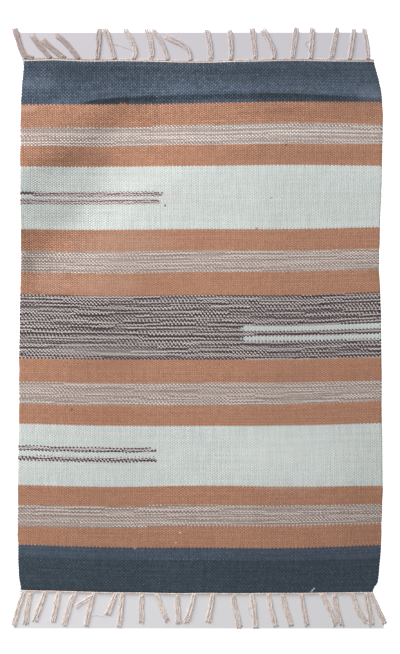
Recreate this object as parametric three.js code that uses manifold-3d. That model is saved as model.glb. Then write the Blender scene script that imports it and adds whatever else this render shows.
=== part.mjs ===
// Kilim rug: a flat-woven cotton rug lying on the floor, its warp ends knotted into tassels at both ends.
// Millimetres. X runs across the rug, Y along it towards the far end, Z up from the floor.
import * as THREE from "three";
import { mergeVertices } from "three/addons/utils/BufferGeometryUtils.js";
import Module from "manifold-3d";

const wasm = await Module();
wasm.setup();

// Woven cloth
const clothThick = 4;
const clothHalfLength = 443;
const columns = 20;

// Rows of facets along the cloth: closer together where the folds of the far end are sharp
const rowSpacing = [
  { from: -clothHalfLength, to: 110, step: 32 },
  { from: 110, to: 352, step: 24 },
  { from: 352, to: clothHalfLength, step: 7 },
];

// The selvedges: how far left and right of the middle line the cloth reaches
const selvedges = [
  { y: -443, left: -299, right: 286 },
  { y: -436, left: -299.5, right: 288.5 },
  { y: -423, left: -302, right: 294 },
  { y: -400, left: -303, right: 297.5 },
  { y: -366, left: -304, right: 299.5 },
  { y: -300, left: -304, right: 301 },
  { y: -233, left: -304, right: 302 },
  { y: -150, left: -302.5, right: 301 },
  { y: -66, left: -302, right: 300.5 },
  { y: 33, left: -300.5, right: 299 },
  { y: 100, left: -299, right: 296.5 },
  { y: 166, left: -299, right: 298 },
  { y: 233, left: -299.5, right: 299.5 },
  { y: 300, left: -299.5, right: 301 },
  { y: 350, left: -299.5, right: 302.5 },
  { y: 385, left: -298, right: 300 },
  { y: 410, left: -296.5, right: 295.5 },
  { y: 443, left: -293.5, right: 287.5 },
];

// The last picks: how far along the cloth reaches at the far and near ends
const lastPicks = [
  { x: -295, far: 442, near: -440.5 },
  { x: -240, far: 443, near: -441.5 },
  { x: -190, far: 441, near: -443 },
  { x: -140, far: 441.5, near: -444 },
  { x: -90, far: 441, near: -444.5 },
  { x: -40, far: 439.5, near: -445.5 },
  { x: 10, far: 439, near: -445 },
  { x: 60, far: 440.5, near: -445.5 },
  { x: 110, far: 441.5, near: -445 },
  { x: 160, far: 442.5, near: -445 },
  { x: 210, far: 441.5, near: -444.5 },
  { x: 290, far: 441, near: -443.5 },
];

// Shallow folds. Each crest runs along one axis, between from and to, and start, middle and end are
// its places on the other axis. It rises by rise, and falls to the floor over the widths low and high,
// on its side towards the lower and the higher coordinate.
const folds = [
  { name: "far crease", run: "x", from: -215, to: 330, start: 372, middle: 387, end: 377, rise: 4, low: 11, high: 34 },
  { name: "faint crease", run: "x", from: -270, to: 80, start: 411, middle: 415, end: 414, rise: 1.6, low: 9, high: 16 },
  { name: "left wave", run: "y", from: 90, to: 345, start: -318, middle: -286, end: -222, rise: 4.2, low: 48, high: 72 },
  { name: "long swell", run: "y", from: -60, to: 395, start: -95, middle: -84, end: -92, rise: 2.6, low: 88, high: 150 },
];

// Heading, the narrow cream edge that holds the warp ends, and the tassels knotted on it
const headingGap = 0.3;
const headingWide = 3;
const headingHigh = 3.4;
const rootShare = 0.8;
const neckWide = 4.8;
const knotLong = 9;
const knotWide = 8;
const knotHigh = 5;
const tasselWide = 6.8;
const strandGap = 0.8;
const strandHigh = 2.3;
const strandSpread = 1.25;
const strandSteps = 5;
const strandStart = 4;
const strandTipShare = 0.7;
const strandLengthShares = [0.95, 1, 0.91];
const trapezeShare = 0.72;

// Tassels of the far end: the root's place, the middle and the tip as steps sideways and outwards,
// and how many strands the tassel parts into
const farTassels = [
  { root: -291, midSide: -10, midOut: 23, tipSide: -21, tipOut: 55, strands: 2 },
  { root: -279, midSide: -7, midOut: 16, tipSide: -20, tipOut: 53, strands: 3 },
  { root: -250, midSide: -16, midOut: 19, tipSide: -33, tipOut: 38, strands: 2 },
  { root: -226, midSide: -19, midOut: 14, tipSide: -38, tipOut: 30, strands: 3 },
  { root: -203, midSide: -19, midOut: 24, tipSide: -37, tipOut: 40, strands: 2 },
  { root: -172, midSide: 2, midOut: 22, tipSide: 4, tipOut: 56, strands: 2 },
  { root: -143, midSide: -9, midOut: 30, tipSide: -17, tipOut: 54, strands: 2 },
  { root: -111, midSide: 1, midOut: 19, tipSide: -18, tipOut: 55, strands: 2 },
  { root: -83, midSide: 1, midOut: 18, tipSide: -7, tipOut: 56, strands: 3 },
  { root: -55, midSide: -8, midOut: 24, tipSide: -25, tipOut: 53, strands: 2 },
  { root: -17, midSide: -8, midOut: 22, tipSide: -38, tipOut: 39, strands: 2 },
  { root: 16, midSide: 0, midOut: 23, tipSide: -6, tipOut: 57, strands: 3 },
  { root: 50, midSide: 1, midOut: 23, tipSide: -2, tipOut: 56, strands: 2 },
  { root: 91, midSide: -2, midOut: 23, tipSide: -6, tipOut: 58, strands: 3 },
  { root: 122, midSide: -2, midOut: 18, tipSide: -20, tipOut: 54, strands: 2 },
  { root: 153, midSide: 3, midOut: 23, tipSide: 8, tipOut: 57, strands: 3 },
  { root: 183, midSide: 2, midOut: 23, tipSide: 4, tipOut: 55, strands: 2 },
  { root: 217, midSide: 5, midOut: 23, tipSide: 11, tipOut: 56, strands: 3 },
  { root: 248, midSide: 4, midOut: 23, tipSide: 9, tipOut: 57, strands: 2 },
  { root: 279, midSide: -1, midOut: 18, tipSide: -8, tipOut: 56, strands: 2 },
];

// Tassels of the near end
const nearTassels = [
  { root: -294, midSide: -8, midOut: 23, tipSide: -18, tipOut: 58, strands: 2 },
  { root: -282, midSide: -5, midOut: 19, tipSide: -10, tipOut: 57, strands: 3 },
  { root: -259, midSide: -8, midOut: 23, tipSide: -18, tipOut: 50, strands: 2 },
  { root: -236, midSide: -4, midOut: 23, tipSide: -10, tipOut: 51, strands: 2 },
  { root: -208, midSide: -9, midOut: 20, tipSide: -19, tipOut: 57, strands: 3 },
  { root: -178, midSide: -6, midOut: 23, tipSide: -13, tipOut: 58, strands: 2 },
  { root: -142, midSide: -6, midOut: 19, tipSide: -12, tipOut: 36, strands: 2 },
  { root: -130, midSide: -2, midOut: 23, tipSide: -6, tipOut: 58, strands: 2 },
  { root: -98, midSide: -1, midOut: 23, tipSide: 0, tipOut: 50, strands: 3 },
  { root: -73, midSide: 8, midOut: 23, tipSide: 18, tipOut: 46, strands: 2 },
  { root: -39, midSide: 1, midOut: 23, tipSide: 3, tipOut: 49, strands: 3 },
  { root: -11, midSide: -5, midOut: 23, tipSide: -14, tipOut: 49, strands: 2 },
  { root: 20, midSide: -3, midOut: 23, tipSide: -8, tipOut: 49, strands: 2 },
  { root: 54, midSide: 3, midOut: 23, tipSide: 13, tipOut: 57, strands: 3 },
  { root: 85, midSide: 4, midOut: 23, tipSide: 7, tipOut: 57, strands: 2 },
  { root: 112, midSide: 6, midOut: 27, tipSide: 14, tipOut: 56, strands: 2 },
  { root: 136, midSide: 7, midOut: 27, tipSide: 16, tipOut: 54, strands: 3 },
  { root: 168, midSide: 3, midOut: 23, tipSide: 10, tipOut: 54, strands: 2 },
  { root: 201, midSide: 14, midOut: 26, tipSide: 25, tipOut: 54, strands: 2 },
  { root: 223, midSide: 3, midOut: 23, tipSide: 13, tipOut: 55, strands: 3 },
  { root: 253, midSide: 9, midOut: 27, tipSide: 23, tipOut: 49, strands: 2 },
  { root: 275, midSide: 6, midOut: 30, tipSide: 10, tipOut: 54, strands: 2 },
  { root: 284, midSide: 11, midOut: 24, tipSide: 24, tipOut: 54, strands: 2 },
];

// A smooth curve through one column of a table, read at a value of its key column
function curveThrough(table, key, column) {
  const places = table.map((row) => row[key]);
  const values = table.map((row) => row[column]);
  const curve = new THREE.CubicInterpolant(places, values, 1);
  return (at) => curve.evaluate(at)[0];
}

const leftEdge = curveThrough(selvedges, "y", "left");
const rightEdge = curveThrough(selvedges, "y", "right");
const farEdge = curveThrough(lastPicks, "x", "far");
const nearEdge = curveThrough(lastPicks, "x", "near");

// The place on the cloth at a share of its width and a share of its length
function clothPlace(across, along) {
  const level = THREE.MathUtils.lerp(-clothHalfLength, clothHalfLength, along);
  const x = THREE.MathUtils.lerp(leftEdge(level), rightEdge(level), across);
  const y = THREE.MathUtils.lerp(nearEdge(x), farEdge(x), along);
  return new THREE.Vector2(x, y);
}

// A round hump, 1 at the middle and 0 where share reaches 1
function hump(share) {
  return Math.abs(share) < 1 ? (1 + Math.cos(Math.PI * share)) / 2 : 0;
}

// How far the cloth's underside stands off the floor
function foldRise(x, y) {
  let rise = 0;
  for (const fold of folds) {
    const [run, side] = fold.run === "x" ? [x, y] : [y, x];
    const share = (run - fold.from) / (fold.to - fold.from);
    if (share <= 0 || share >= 1) continue;
    const chord = THREE.MathUtils.lerp(fold.start, fold.end, share);
    const bend = fold.middle - (fold.start + fold.end) / 2;
    const off = side - chord - bend * 4 * share * (1 - share);
    const taper = Math.sin(Math.PI * share) ** 0.7;
    rise = Math.max(rise, fold.rise * taper * hump(off / (off < 0 ? fold.low : fold.high)));
  }
  return rise;
}

// Shares of the cloth's length at which a row of facets starts
function rowShares() {
  const shares = [];
  for (const zone of rowSpacing) {
    const count = Math.round((zone.to - zone.from) / zone.step);
    for (let i = 0; i < count; i++) {
      const level = THREE.MathUtils.lerp(zone.from, zone.to, i / count);
      shares.push((level + clothHalfLength) / (2 * clothHalfLength));
    }
  }
  return [...shares, 1];
}

function geometryOf(positions, faces) {
  const geometry = new THREE.BufferGeometry();
  geometry.setAttribute("position", new THREE.Float32BufferAttribute(positions, 3));
  geometry.setIndex(faces);
  geometry.computeVertexNormals();
  return geometry;
}

// The woven cloth: a sheet of even thickness over its folds, with upright edges
function wovenCloth() {
  const shares = rowShares();
  const rows = shares.length - 1;
  const positions = [];
  for (const top of [0, clothThick]) {
    for (const along of shares) {
      for (let i = 0; i <= columns; i++) {
        const { x, y } = clothPlace(i / columns, along);
        positions.push(x, y, foldRise(x, y) + top);
      }
    }
  }
  const layer = (rows + 1) * (columns + 1);
  const under = (i, j) => j * (columns + 1) + i;
  const over = (i, j) => under(i, j) + layer;
  const faces = [];
  const quad = (a, b, c, d) => faces.push(a, b, c, a, c, d);
  for (let j = 0; j < rows; j++) {
    for (let i = 0; i < columns; i++) {
      quad(over(i, j), over(i + 1, j), over(i + 1, j + 1), over(i, j + 1));
      quad(under(i, j), under(i, j + 1), under(i + 1, j + 1), under(i + 1, j));
    }
    quad(under(0, j), over(0, j), over(0, j + 1), under(0, j + 1));
    quad(under(columns, j + 1), over(columns, j + 1), over(columns, j), under(columns, j));
  }
  for (let i = 0; i < columns; i++) {
    quad(under(i + 1, 0), over(i + 1, 0), over(i, 0), under(i, 0));
    quad(under(i, rows), over(i, rows), over(i + 1, rows), under(i + 1, rows));
  }
  return geometryOf(positions, faces);
}

// A four-sided bar that rests level on the floor. Each stop has a place in plan, a width at the floor
// and a height, and the bar's top is narrower than its foot.
function flatBar(stops) {
  const positions = [];
  stops.forEach((stop, i) => {
    const before = stops[Math.max(i - 1, 0)].place;
    const after = stops[Math.min(i + 1, stops.length - 1)].place;
    const run = after.clone().sub(before).normalize();
    const side = new THREE.Vector2(-run.y, run.x).multiplyScalar(stop.wide / 2);
    const corners = [[1, 0], [-1, 0], [-trapezeShare, stop.high], [trapezeShare, stop.high]];
    for (const [share, z] of corners) {
      positions.push(stop.place.x + side.x * share, stop.place.y + side.y * share, z);
    }
  });
  const faces = [];
  const last = 4 * (stops.length - 1);
  for (let base = 0; base < last; base += 4) {
    for (let i = 0; i < 4; i++) {
      const a = base + i;
      const b = base + ((i + 1) % 4);
      faces.push(a, a + 4, b + 4, a, b + 4, b);
    }
  }
  faces.push(0, 1, 2, 0, 2, 3);
  faces.push(last, last + 2, last + 1, last, last + 3, last + 2);
  return geometryOf(positions, faces);
}

function solidOf(geometry) {
  const bare = geometry.clone();
  bare.deleteAttribute("normal");
  const merged = mergeVertices(bare);
  return new wasm.Manifold(
    new wasm.Mesh({
      numProp: 3,
      vertProperties: merged.attributes.position.array,
      triVerts: new Uint32Array(merged.index.array),
    }),
  );
}

// The cream heading, along one end of the cloth, parted from it by a small gap
function heading(end) {
  const edgeShare = end.outwards > 0 ? 1 : 0;
  const middle = headingGap + headingWide / 2;
  const stops = [];
  for (let i = 0; i <= columns; i++) {
    const { x, y } = clothPlace(i / columns, edgeShare);
    stops.push({ place: new THREE.Vector2(x, y + end.outwards * middle), wide: headingWide, high: headingHigh });
  }
  return flatBar(stops);
}

// The line along which a tassel lies: from its root near the heading's outer side, through its middle
// to its tip
function tasselLine(tassel, end) {
  const rootY = end.edge(tassel.root) + end.outwards * (headingGap + headingWide * rootShare);
  const place = (side, out) => new THREE.Vector2(tassel.root + side, rootY + end.outwards * out);
  return new THREE.SplineCurve([
    place(0, 0),
    place(tassel.midSide, tassel.midOut),
    place(tassel.tipSide, tassel.tipOut),
  ]);
}

// The knot at a tassel's root, from inside the heading to where the strands part
function knot(line) {
  const length = line.getLength();
  const stops = [
    { at: 0, wide: neckWide, high: headingHigh * 0.9 },
    { at: knotLong * 0.35, wide: knotWide * 0.85, high: knotHigh * 0.8 },
    { at: knotLong * 0.6, wide: knotWide, high: knotHigh },
    { at: knotLong, wide: knotWide * 0.95, high: strandHigh * 1.1 },
  ];
  return flatBar(stops.map((stop) => ({ ...stop, place: line.getPointAt(stop.at / length) })));
}

// One strand of a tassel, beside the tassel's line and a little further from it towards the tip
function strand(line, number, count) {
  const wideAtRoot = (tasselWide - strandGap * (count - 1)) / count;
  const offside = (number - (count - 1) / 2) * (wideAtRoot + strandGap);
  const length = line.getLength();
  const reach = strandLengthShares[number];
  const stops = [];
  for (let i = 0; i <= strandSteps; i++) {
    const step = i / strandSteps;
    const at = THREE.MathUtils.lerp(strandStart / length, reach, step);
    const run = line.getTangentAt(at);
    const away = offside * THREE.MathUtils.lerp(1, strandSpread, step);
    const thin = THREE.MathUtils.lerp(1, strandTipShare, step * step);
    const side = new THREE.Vector2(-run.y, run.x).multiplyScalar(away);
    stops.push({ place: line.getPointAt(at).add(side), wide: wideAtRoot * thin, high: strandHigh * thin });
  }
  return flatBar(stops);
}

// The fringe of one end, as one body: the heading with every tassel's knot and strands fused to it
function fringe(end) {
  let body = solidOf(heading(end));
  for (const tassel of end.tassels) {
    const line = tasselLine(tassel, end);
    body = body.add(solidOf(knot(line)));
    for (let number = 0; number < tassel.strands; number++) {
      body = body.add(solidOf(strand(line, number, tassel.strands)));
    }
  }
  const mesh = body.getMesh();
  return geometryOf(Array.from(mesh.vertProperties), Array.from(mesh.triVerts));
}

const finishes = {
  weave: new THREE.MeshStandardMaterial({ name: "striped_weave", color: 0xb98a73, roughness: 0.95, metalness: 0 }),
  warp: new THREE.MeshStandardMaterial({ name: "cream_cotton", color: 0xd3c3b4, roughness: 0.9, metalness: 0 }),
};

const ends = {
  far_fringe: { outwards: 1, edge: farEdge, tassels: farTassels },
  near_fringe: { outwards: -1, edge: nearEdge, tassels: nearTassels },
};

const rug = new THREE.Group();

function addPiece(name, geometry, material) {
  const mesh = new THREE.Mesh(geometry, material);
  mesh.name = name;
  rug.add(mesh);
}

addPiece("woven_field", wovenCloth(), finishes.weave);
for (const [name, end] of Object.entries(ends)) {
  addPiece(name, fringe(end), finishes.warp);
}

// The origin is under the middle of the whole rug, tassels included
const box = new THREE.Box3().setFromObject(rug);
const middle = box.getCenter(new THREE.Vector3());
rug.children.forEach((mesh) => mesh.position.set(-middle.x, -middle.y, 0));

export default rug;
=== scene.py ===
"""A flat-woven cotton rug with knotted tassels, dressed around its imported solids.

The cloth is a weft-faced plain weave: thick wefts cover cotton warps, so its face is a lattice of small
beads, one for each place where a pick passes over a warp. The mesh has a point for each bead, and the
finish works out for each bead which pick it belongs to, which yarn that pick is, and how the strands of
the yarn lie in it. The warp ends are twined into a cream heading and knotted into tassels.
"""

import logging
import math
from dataclasses import dataclass, field
from enum import Enum
from typing import NamedTuple, Sequence, Union

import bpy
import numpy as np
from bpy.types import Material, Node, NodeSocket, NodeTree, Object
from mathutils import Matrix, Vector

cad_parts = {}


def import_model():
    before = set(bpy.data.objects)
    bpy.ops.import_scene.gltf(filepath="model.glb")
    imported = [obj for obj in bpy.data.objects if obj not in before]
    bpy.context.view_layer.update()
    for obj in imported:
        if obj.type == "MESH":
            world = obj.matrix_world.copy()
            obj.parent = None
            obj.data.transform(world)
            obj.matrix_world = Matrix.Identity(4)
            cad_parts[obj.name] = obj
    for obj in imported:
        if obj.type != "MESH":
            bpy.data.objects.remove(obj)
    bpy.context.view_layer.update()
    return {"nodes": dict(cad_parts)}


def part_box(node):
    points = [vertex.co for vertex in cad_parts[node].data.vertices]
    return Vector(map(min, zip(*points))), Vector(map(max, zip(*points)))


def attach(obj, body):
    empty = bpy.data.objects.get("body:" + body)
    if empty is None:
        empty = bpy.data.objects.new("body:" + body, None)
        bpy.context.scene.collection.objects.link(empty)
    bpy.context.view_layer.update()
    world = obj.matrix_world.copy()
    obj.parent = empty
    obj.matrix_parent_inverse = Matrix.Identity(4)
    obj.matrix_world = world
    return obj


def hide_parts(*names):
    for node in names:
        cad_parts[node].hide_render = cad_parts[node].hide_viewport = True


LOG = logging.getLogger("rug")

MM = 0.001
SEED = 5
FAR_SEED = 11
NEAR_SEED = 12

# How tall the picture is, and how much of the floor a pixel shows
PICTURE_HIGH = 654
MM_PER_PIXEL = 5 / 3

Source = Union[NodeSocket, float, tuple]
Span = tuple[float, float]
Array = np.ndarray


class YarnLook(NamedTuple):
    """How one kind of weft looks: two strand colours, and how they share and wander in a bead."""

    first: str
    second: str
    second_share: float
    softness: float
    restless: float
    bead_spread: float
    # how dark the painted shade in the grooves between its beads is
    groove_shade: float
    lay: float = 0.0


class Yarn(Enum):
    """The kinds of weft in the rug, in the order that the finish numbers them."""

    INK = YarnLook("#525e6e", "#43505d", 0.4, 0.35, 0.25, 0.26, 0.5)
    DEEP_INK = YarnLook("#44525d", "#394550", 0.4, 0.35, 0.25, 0.3, 0.55)
    CLAY = YarnLook("#bb8c73", "#ab795e", 0.35, 0.4, 0.3, 0.14, 0.5)
    OAT = YarnLook("#97857f", "#d9cdc4", 0.42, 0.14, 0.1, 0.08, 0.4)
    MINT = YarnLook("#c6d6d6", "#d6d4cc", 0.5, 0.25, 0.1, 0.03, 0.16)
    PLUM = YarnLook("#43373f", "#d2c9c3", 0.36, 0.12, 0.1, 0.1, 0.4)
    CREAM = YarnLook("#d8cbc2", "#cdbeb3", 0.4, 0.3, 0.2, 0.08, 0.2)
    NIGHT_PLUM = YarnLook("#3a2a31", "#4f3c44", 0.3, 0.3, 0.1, 0.08, 0.4)
    PLUM_LOW = YarnLook("#33252d", "#ddd3d0", 0.42, 0.06, 0.14, 0.1, 0.3, 0.75)
    PLUM_HIGH = YarnLook("#33252d", "#ddd3d0", 0.42, 0.06, 0.14, 0.1, 0.3, 0.25)


YARNS = list(Yarn)


class Band(NamedTuple):
    """One stripe across the whole rug: its yarn, its length along the rug, and its count of picks."""

    name: str
    yarn: Yarn
    length: float
    picks: int


# From the near end to the far end
BANDS = tuple(Band(*row) for row in (
    ("near border", Yarn.DEEP_INK, 54.7, 21),
    ("its farther picks", Yarn.INK, 20.8, 8),
    ("clay 8", Yarn.CLAY, 35.0, 17),
    ("oat 4", Yarn.OAT, 32.8, 14),
    ("clay 7", Yarn.CLAY, 33.8, 17),
    ("near mint", Yarn.MINT, 101.7, 50),
    ("clay 6", Yarn.CLAY, 35.0, 17),
    ("oat 3", Yarn.OAT, 35.0, 15),
    ("clay 5", Yarn.CLAY, 42.0, 21),
    ("plum middle", Yarn.PLUM, 103.5, 38),
    ("clay 4", Yarn.CLAY, 40.7, 20),
    ("oat 2", Yarn.OAT, 34.0, 15),
    ("clay 3", Yarn.CLAY, 36.5, 18),
    ("far mint", Yarn.MINT, 105.0, 52),
    ("clay 2", Yarn.CLAY, 37.0, 18),
    ("oat 1", Yarn.OAT, 29.7, 13),
    ("clay 1", Yarn.CLAY, 37.7, 19),
    ("far border", Yarn.INK, 70.2, 27),
))
PICKS = sum(band.picks for band in BANDS)
WARPS = 200


class ShortStripe(NamedTuple):
    """A weft laid in over part of the width: its columns and picks, how its ends taper, its edges."""

    name: str
    yarn: Yarn
    from_column: float
    to_column: float
    first_pick: int
    last_pick: int
    left_taper: float
    right_taper: float
    even: bool = False


SHORT_STRIPES = tuple(ShortStripe(*row) for row in (
    ("far mint, upper line, its two nearer picks", Yarn.PLUM_LOW, -1, 79, 298, 299, 0, 1.2),
    ("its third pick", Yarn.PLUM_HIGH, -1, 79, 300, 300, 0, 0),
    ("its fourth pick", Yarn.PLUM_LOW, -1, 77, 301, 301, 0, 0),
    ("its solid start", Yarn.NIGHT_PLUM, -1, 8, 300, 301, 0, 1),
    ("mint beside its start", Yarn.MINT, -1, 7, 298, 299, 0, 0),
    ("far mint, lower line, its two nearer picks", Yarn.PLUM_LOW, -1, 78, 292, 293, 0, 0.8),
    ("its upper middle pick", Yarn.PLUM_HIGH, -1, 78, 294, 294, 0, 0),
    ("its farthest pick", Yarn.PLUM_LOW, -1, 77, 295, 295, 0, 0),
    ("its last bead", Yarn.NIGHT_PLUM, 79.2, 80.6, 290, 290, 0, 0),
    ("near mint, upper line, nearest pick", Yarn.PLUM_HIGH, -1, 76, 105, 105, 0, 0),
    ("its second and third picks", Yarn.PLUM_LOW, -1, 76, 106, 107, 0, 0),
    ("its farthest pick again", Yarn.PLUM_HIGH, -1, 74, 108, 108, 0, 0),
    ("near mint, lower line, two nearer picks", Yarn.PLUM_HIGH, -1, 77, 97, 98, 0, 1),
    ("its two farther picks", Yarn.PLUM_LOW, -1, 76, 99, 100, 0, 1),
    ("plum middle, upper line", Yarn.MINT, 122.5, 201, 197, 199, 1.6, 0, True),
    ("plum middle, lower line", Yarn.MINT, 122.5, 201, 191, 193, 2.2, 0),
    ("clay step into the far border", Yarn.CLAY, 55, 58, 373, 373, 0, 0),
    ("clay step into the far mint", Yarn.CLAY, 131, 133, 271, 271, 0, 0),
    ("clay step into the near border", Yarn.CLAY, 63, 65, 28, 28, 0, 0),
    ("oat step, far edge of the far band", Yarn.CLAY, -1, 72, 353, 353, 0, 0),
    ("oat step, near edge of the far band", Yarn.OAT, -1, 72, 340, 340, 0, 0),
    ("oat step, near edge of the near band", Yarn.CLAY, 71.3, 201, 46, 46, 0, 0),
    ("oat step, far edge of the near band", Yarn.OAT, 71.3, 201, 60, 60, 0, 0),
))


class BowRow(NamedTuple):
    """How far a pick stands towards the far end of its mean level, at five stations across the rug."""

    level: float
    left: float
    mid_left: float
    middle: float
    mid_right: float
    right: float


BOW_STATIONS = (-290.8, -150.8, -0.8, 149.2, 299.2)
BOWS = tuple(BowRow(*row) for row in (
    (-368, 4.3, 0.2, -0.4, -1, 3.9),
    (-333, -0.8, -2.6, -1.4, -1.1, 2.9),
    (-300, 2.7, 0.3, 0.2, -0.2, 2.2),
    (-266, 2, -1, 1.3, -0.4, 1),
    (-165, 2.1, -1.4, -1.5, -0.8, 3.3),
    (-130, -0.2, -2.4, -2.5, -0.7, 5.2),
    (-95, 2.2, -0.1, 0.6, 0.8, 4.4),
    (-53, -0.9, -2.9, -3, -2.9, 0.7),
    (50, 2.8, -0.5, 1.3, 0.8, 6.2),
    (91, -2.5, -4.2, -1.6, -0.5, 3),
    (125, 0, -2.2, 0.6, 0.8, 2.9),
    (162, -0.8, -1.9, -0.4, -0.2, 2.8),
    (267, -2.5, -1.9, -0.8, 1.1, -0.3),
    (304, -3.5, -3.2, -2.4, -0.3, -1.5),
    (333, -2.3, -0.9, 1.2, 5, 2.3),
    (371, -3.1, -3.1, -0.6, 1.9, 1.1),
))


class SelvedgeRow(NamedTuple):
    """How far left and right of the middle line the cloth reaches at one level."""

    y: float
    left: float
    right: float


SELVEDGES = tuple(SelvedgeRow(*row) for row in (
    (-443, -299, 286),
    (-436, -299.5, 288.5),
    (-430, -300.8, 293.6),
    (-423, -302, 295.5),
    (-400, -303, 297.5),
    (-366, -304, 299.5),
    (-300, -304, 301.9),
    (-233, -304, 302.5),
    (-150, -302.5, 301),
    (-66, -302, 300.5),
    (33, -300.5, 299),
    (100, -299, 296.5),
    (166, -299, 298),
    (233, -299.5, 300.8),
    (300, -299.5, 301.8),
    (350, -299.5, 302.5),
    (385, -298, 300),
    (410, -296.5, 295.5),
    (443, -293.5, 287.5),
))


class LastPickRow(NamedTuple):
    """How far along the cloth reaches at the far and near ends, at one place across it."""

    x: float
    far: float
    near: float


LAST_PICKS = tuple(LastPickRow(*row) for row in (
    (-295, 442, -440.5),
    (-240, 443, -441.5),
    (-190, 441, -443),
    (-140, 441.5, -444),
    (-90, 441, -444.5),
    (-40, 439.5, -445.5),
    (10, 439, -445),
    (60, 440.5, -445.5),
    (110, 441.5, -445),
    (160, 442.5, -445),
    (210, 441.5, -444.5),
    (290, 441, -443.5),
))


class Fold(NamedTuple):
    """A shallow fold: its crest's course, how far it falls away on each side, and how sharp it is."""

    name: str
    run: str
    start_run: float
    end_run: float
    start: float
    middle: float
    end: float
    rise: float
    low: float
    high: float
    sharp: float
    taper: float


FOLDS = (
    Fold("far crease", "x", -215, 345, 371.5, 386.4, 373, 4.4, 14, 34, 1.0, 0.4),
    Fold("far edge's fall", "x", -330, 240, 441, 431, 425, 2.4, 15, 34, 0.3, 0.5),
    Fold("far corner's swell", "x", -345, -130, 396, 394, 390, 2.6, 40, 24, 0.3, 0.7),
    Fold("left wave", "y", 60, 400, -345, -325, -120, 9.0, 140, 100, 0.0, 0.5),
    Fold("long swell", "y", -70, 400, -190, -118, 50, 4.2, 74, 190, 0.2, 0.7),
)


class TasselRow(NamedTuple):
    """One tassel: its root, its middle and tip as steps sideways and outwards, and its strands."""

    root: float
    mid_side: float
    mid_out: float
    tip_side: float
    tip_out: float
    strands: int


FAR_TASSELS = tuple(TasselRow(*row) for row in (
    (-291, -10, 23, -21, 55, 2),
    (-279, -18, 10, -30, 53, 2),
    (-250, -16, 19, -33, 38, 2),
    (-226, -19, 14, -38, 30, 3),
    (-203, -19, 24, -37, 40, 2),
    (-172, 2, 22, 4, 56, 2),
    (-143, -9, 30, -17, 54, 2),
    (-111, 1, 19, -18, 55, 2),
    (-83, 1, 18, -7, 56, 3),
    (-55, -8, 24, -25, 53, 2),
    (-17, -8, 22, -44, 42, 2),
    (16, 0, 23, -6, 57, 3),
    (50, 1, 23, -2, 56, 2),
    (91, -2, 23, -6, 58, 3),
    (122, -2, 18, -20, 54, 2),
    (153, 3, 23, 8, 57, 3),
    (183, 2, 23, 4, 55, 2),
    (217, 5, 23, 11, 56, 3),
    (248, 4, 23, 9, 57, 2),
    (279, -1, 18, -8, 56, 2),
))

NEAR_TASSELS = tuple(TasselRow(*row) for row in (
    (-294, -8, 23, -18, 58, 2),
    (-282, -5, 19, -10, 57, 3),
    (-259, -8, 23, -18, 50, 2),
    (-236, -4, 23, -10, 51, 2),
    (-208, -9, 20, -19, 57, 3),
    (-178, -6, 23, -13, 58, 2),
    (-142, -6, 19, -12, 36, 2),
    (-130, -2, 23, -6, 58, 2),
    (-98, -1, 23, 0, 50, 3),
    (-73, 8, 23, 18, 46, 2),
    (-39, 1, 23, 3, 49, 3),
    (-11, -5, 23, -14, 49, 2),
    (20, -3, 23, -8, 49, 2),
    (54, 3, 23, 13, 57, 3),
    (85, 4, 23, 7, 57, 2),
    (112, 6, 27, 14, 56, 2),
    (136, 7, 27, 16, 54, 3),
    (168, 3, 23, 10, 54, 2),
    (201, 14, 26, 25, 54, 2),
    (223, 3, 23, 13, 55, 3),
    (253, 9, 27, 23, 49, 2),
    (275, 6, 30, 10, 54, 2),
    (284, 11, 24, 24, 54, 2),
))


class LooseRow(NamedTuple):
    """A stray yarn lying beside the tassels: three places it passes, and its thickness."""

    name: str
    start: tuple[float, float]
    middle: tuple[float, float]
    end: tuple[float, float]
    radius: float


FAR_LOOSE = (
    LooseRow("fibre between the seventh and eighth tassels", (-146, 470.6), (-131, 465.4), (-111, 459), 0.4),
    LooseRow("loop left of the seventeenth tassel", (183, 462), (175, 470), (184, 478), 0.55),
)
NEAR_LOOSE = tuple(LooseRow(*row) for row in (
    ("yarn that joins the fifth and sixth tassels", (-182, -449), (-196, -458), (-209, -466), 1.4),
    ("its thinner companion", (-181, -451.5), (-194, -461), (-208, -468.5), 1.1),
    ("fibre right of the sixth tassel", (-186, -483.6), (-173, -482.2), (-160, -483.2), 0.4),
    ("loop left of the fifteenth tassel", (86, -466), (79.5, -473), (86, -483), 0.55),
))


def linear_colour(code: str) -> tuple[float, float, float, float]:
    """The linear colour of a hexadecimal sRGB code.

    Args:
        code: six hexadecimal digits after a hash.
    Returns:
        Red, green, blue and alpha.
    """
    shares = [int(code[i : i + 2], 16) / 255 for i in (1, 3, 5)]
    linear = [c / 12.92 if c <= 0.04045 else ((c + 0.055) / 1.055) ** 2.4 for c in shares]
    return (*linear, 1.0)


def cubic(t: Array, low: Array, high: Array, rise_low: Array,
          rise_high: Array) -> Array:
    """A cubic curve between two values.

    Args:
        t: shares of the way, from 0 to 1.
        low: the value at the start.
        high: the value at the end.
        rise_low: the slope at the start, over the whole way.
        rise_high: the slope at the end, over the whole way.
    Returns:
        The value at each share.
    """
    bend_low = t * (1 - t) ** 2 * rise_low
    bend_high = -(t**2) * (1 - t) * rise_high
    return low + (high - low) * t**2 * (3 - 2 * t) + bend_low + bend_high


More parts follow.
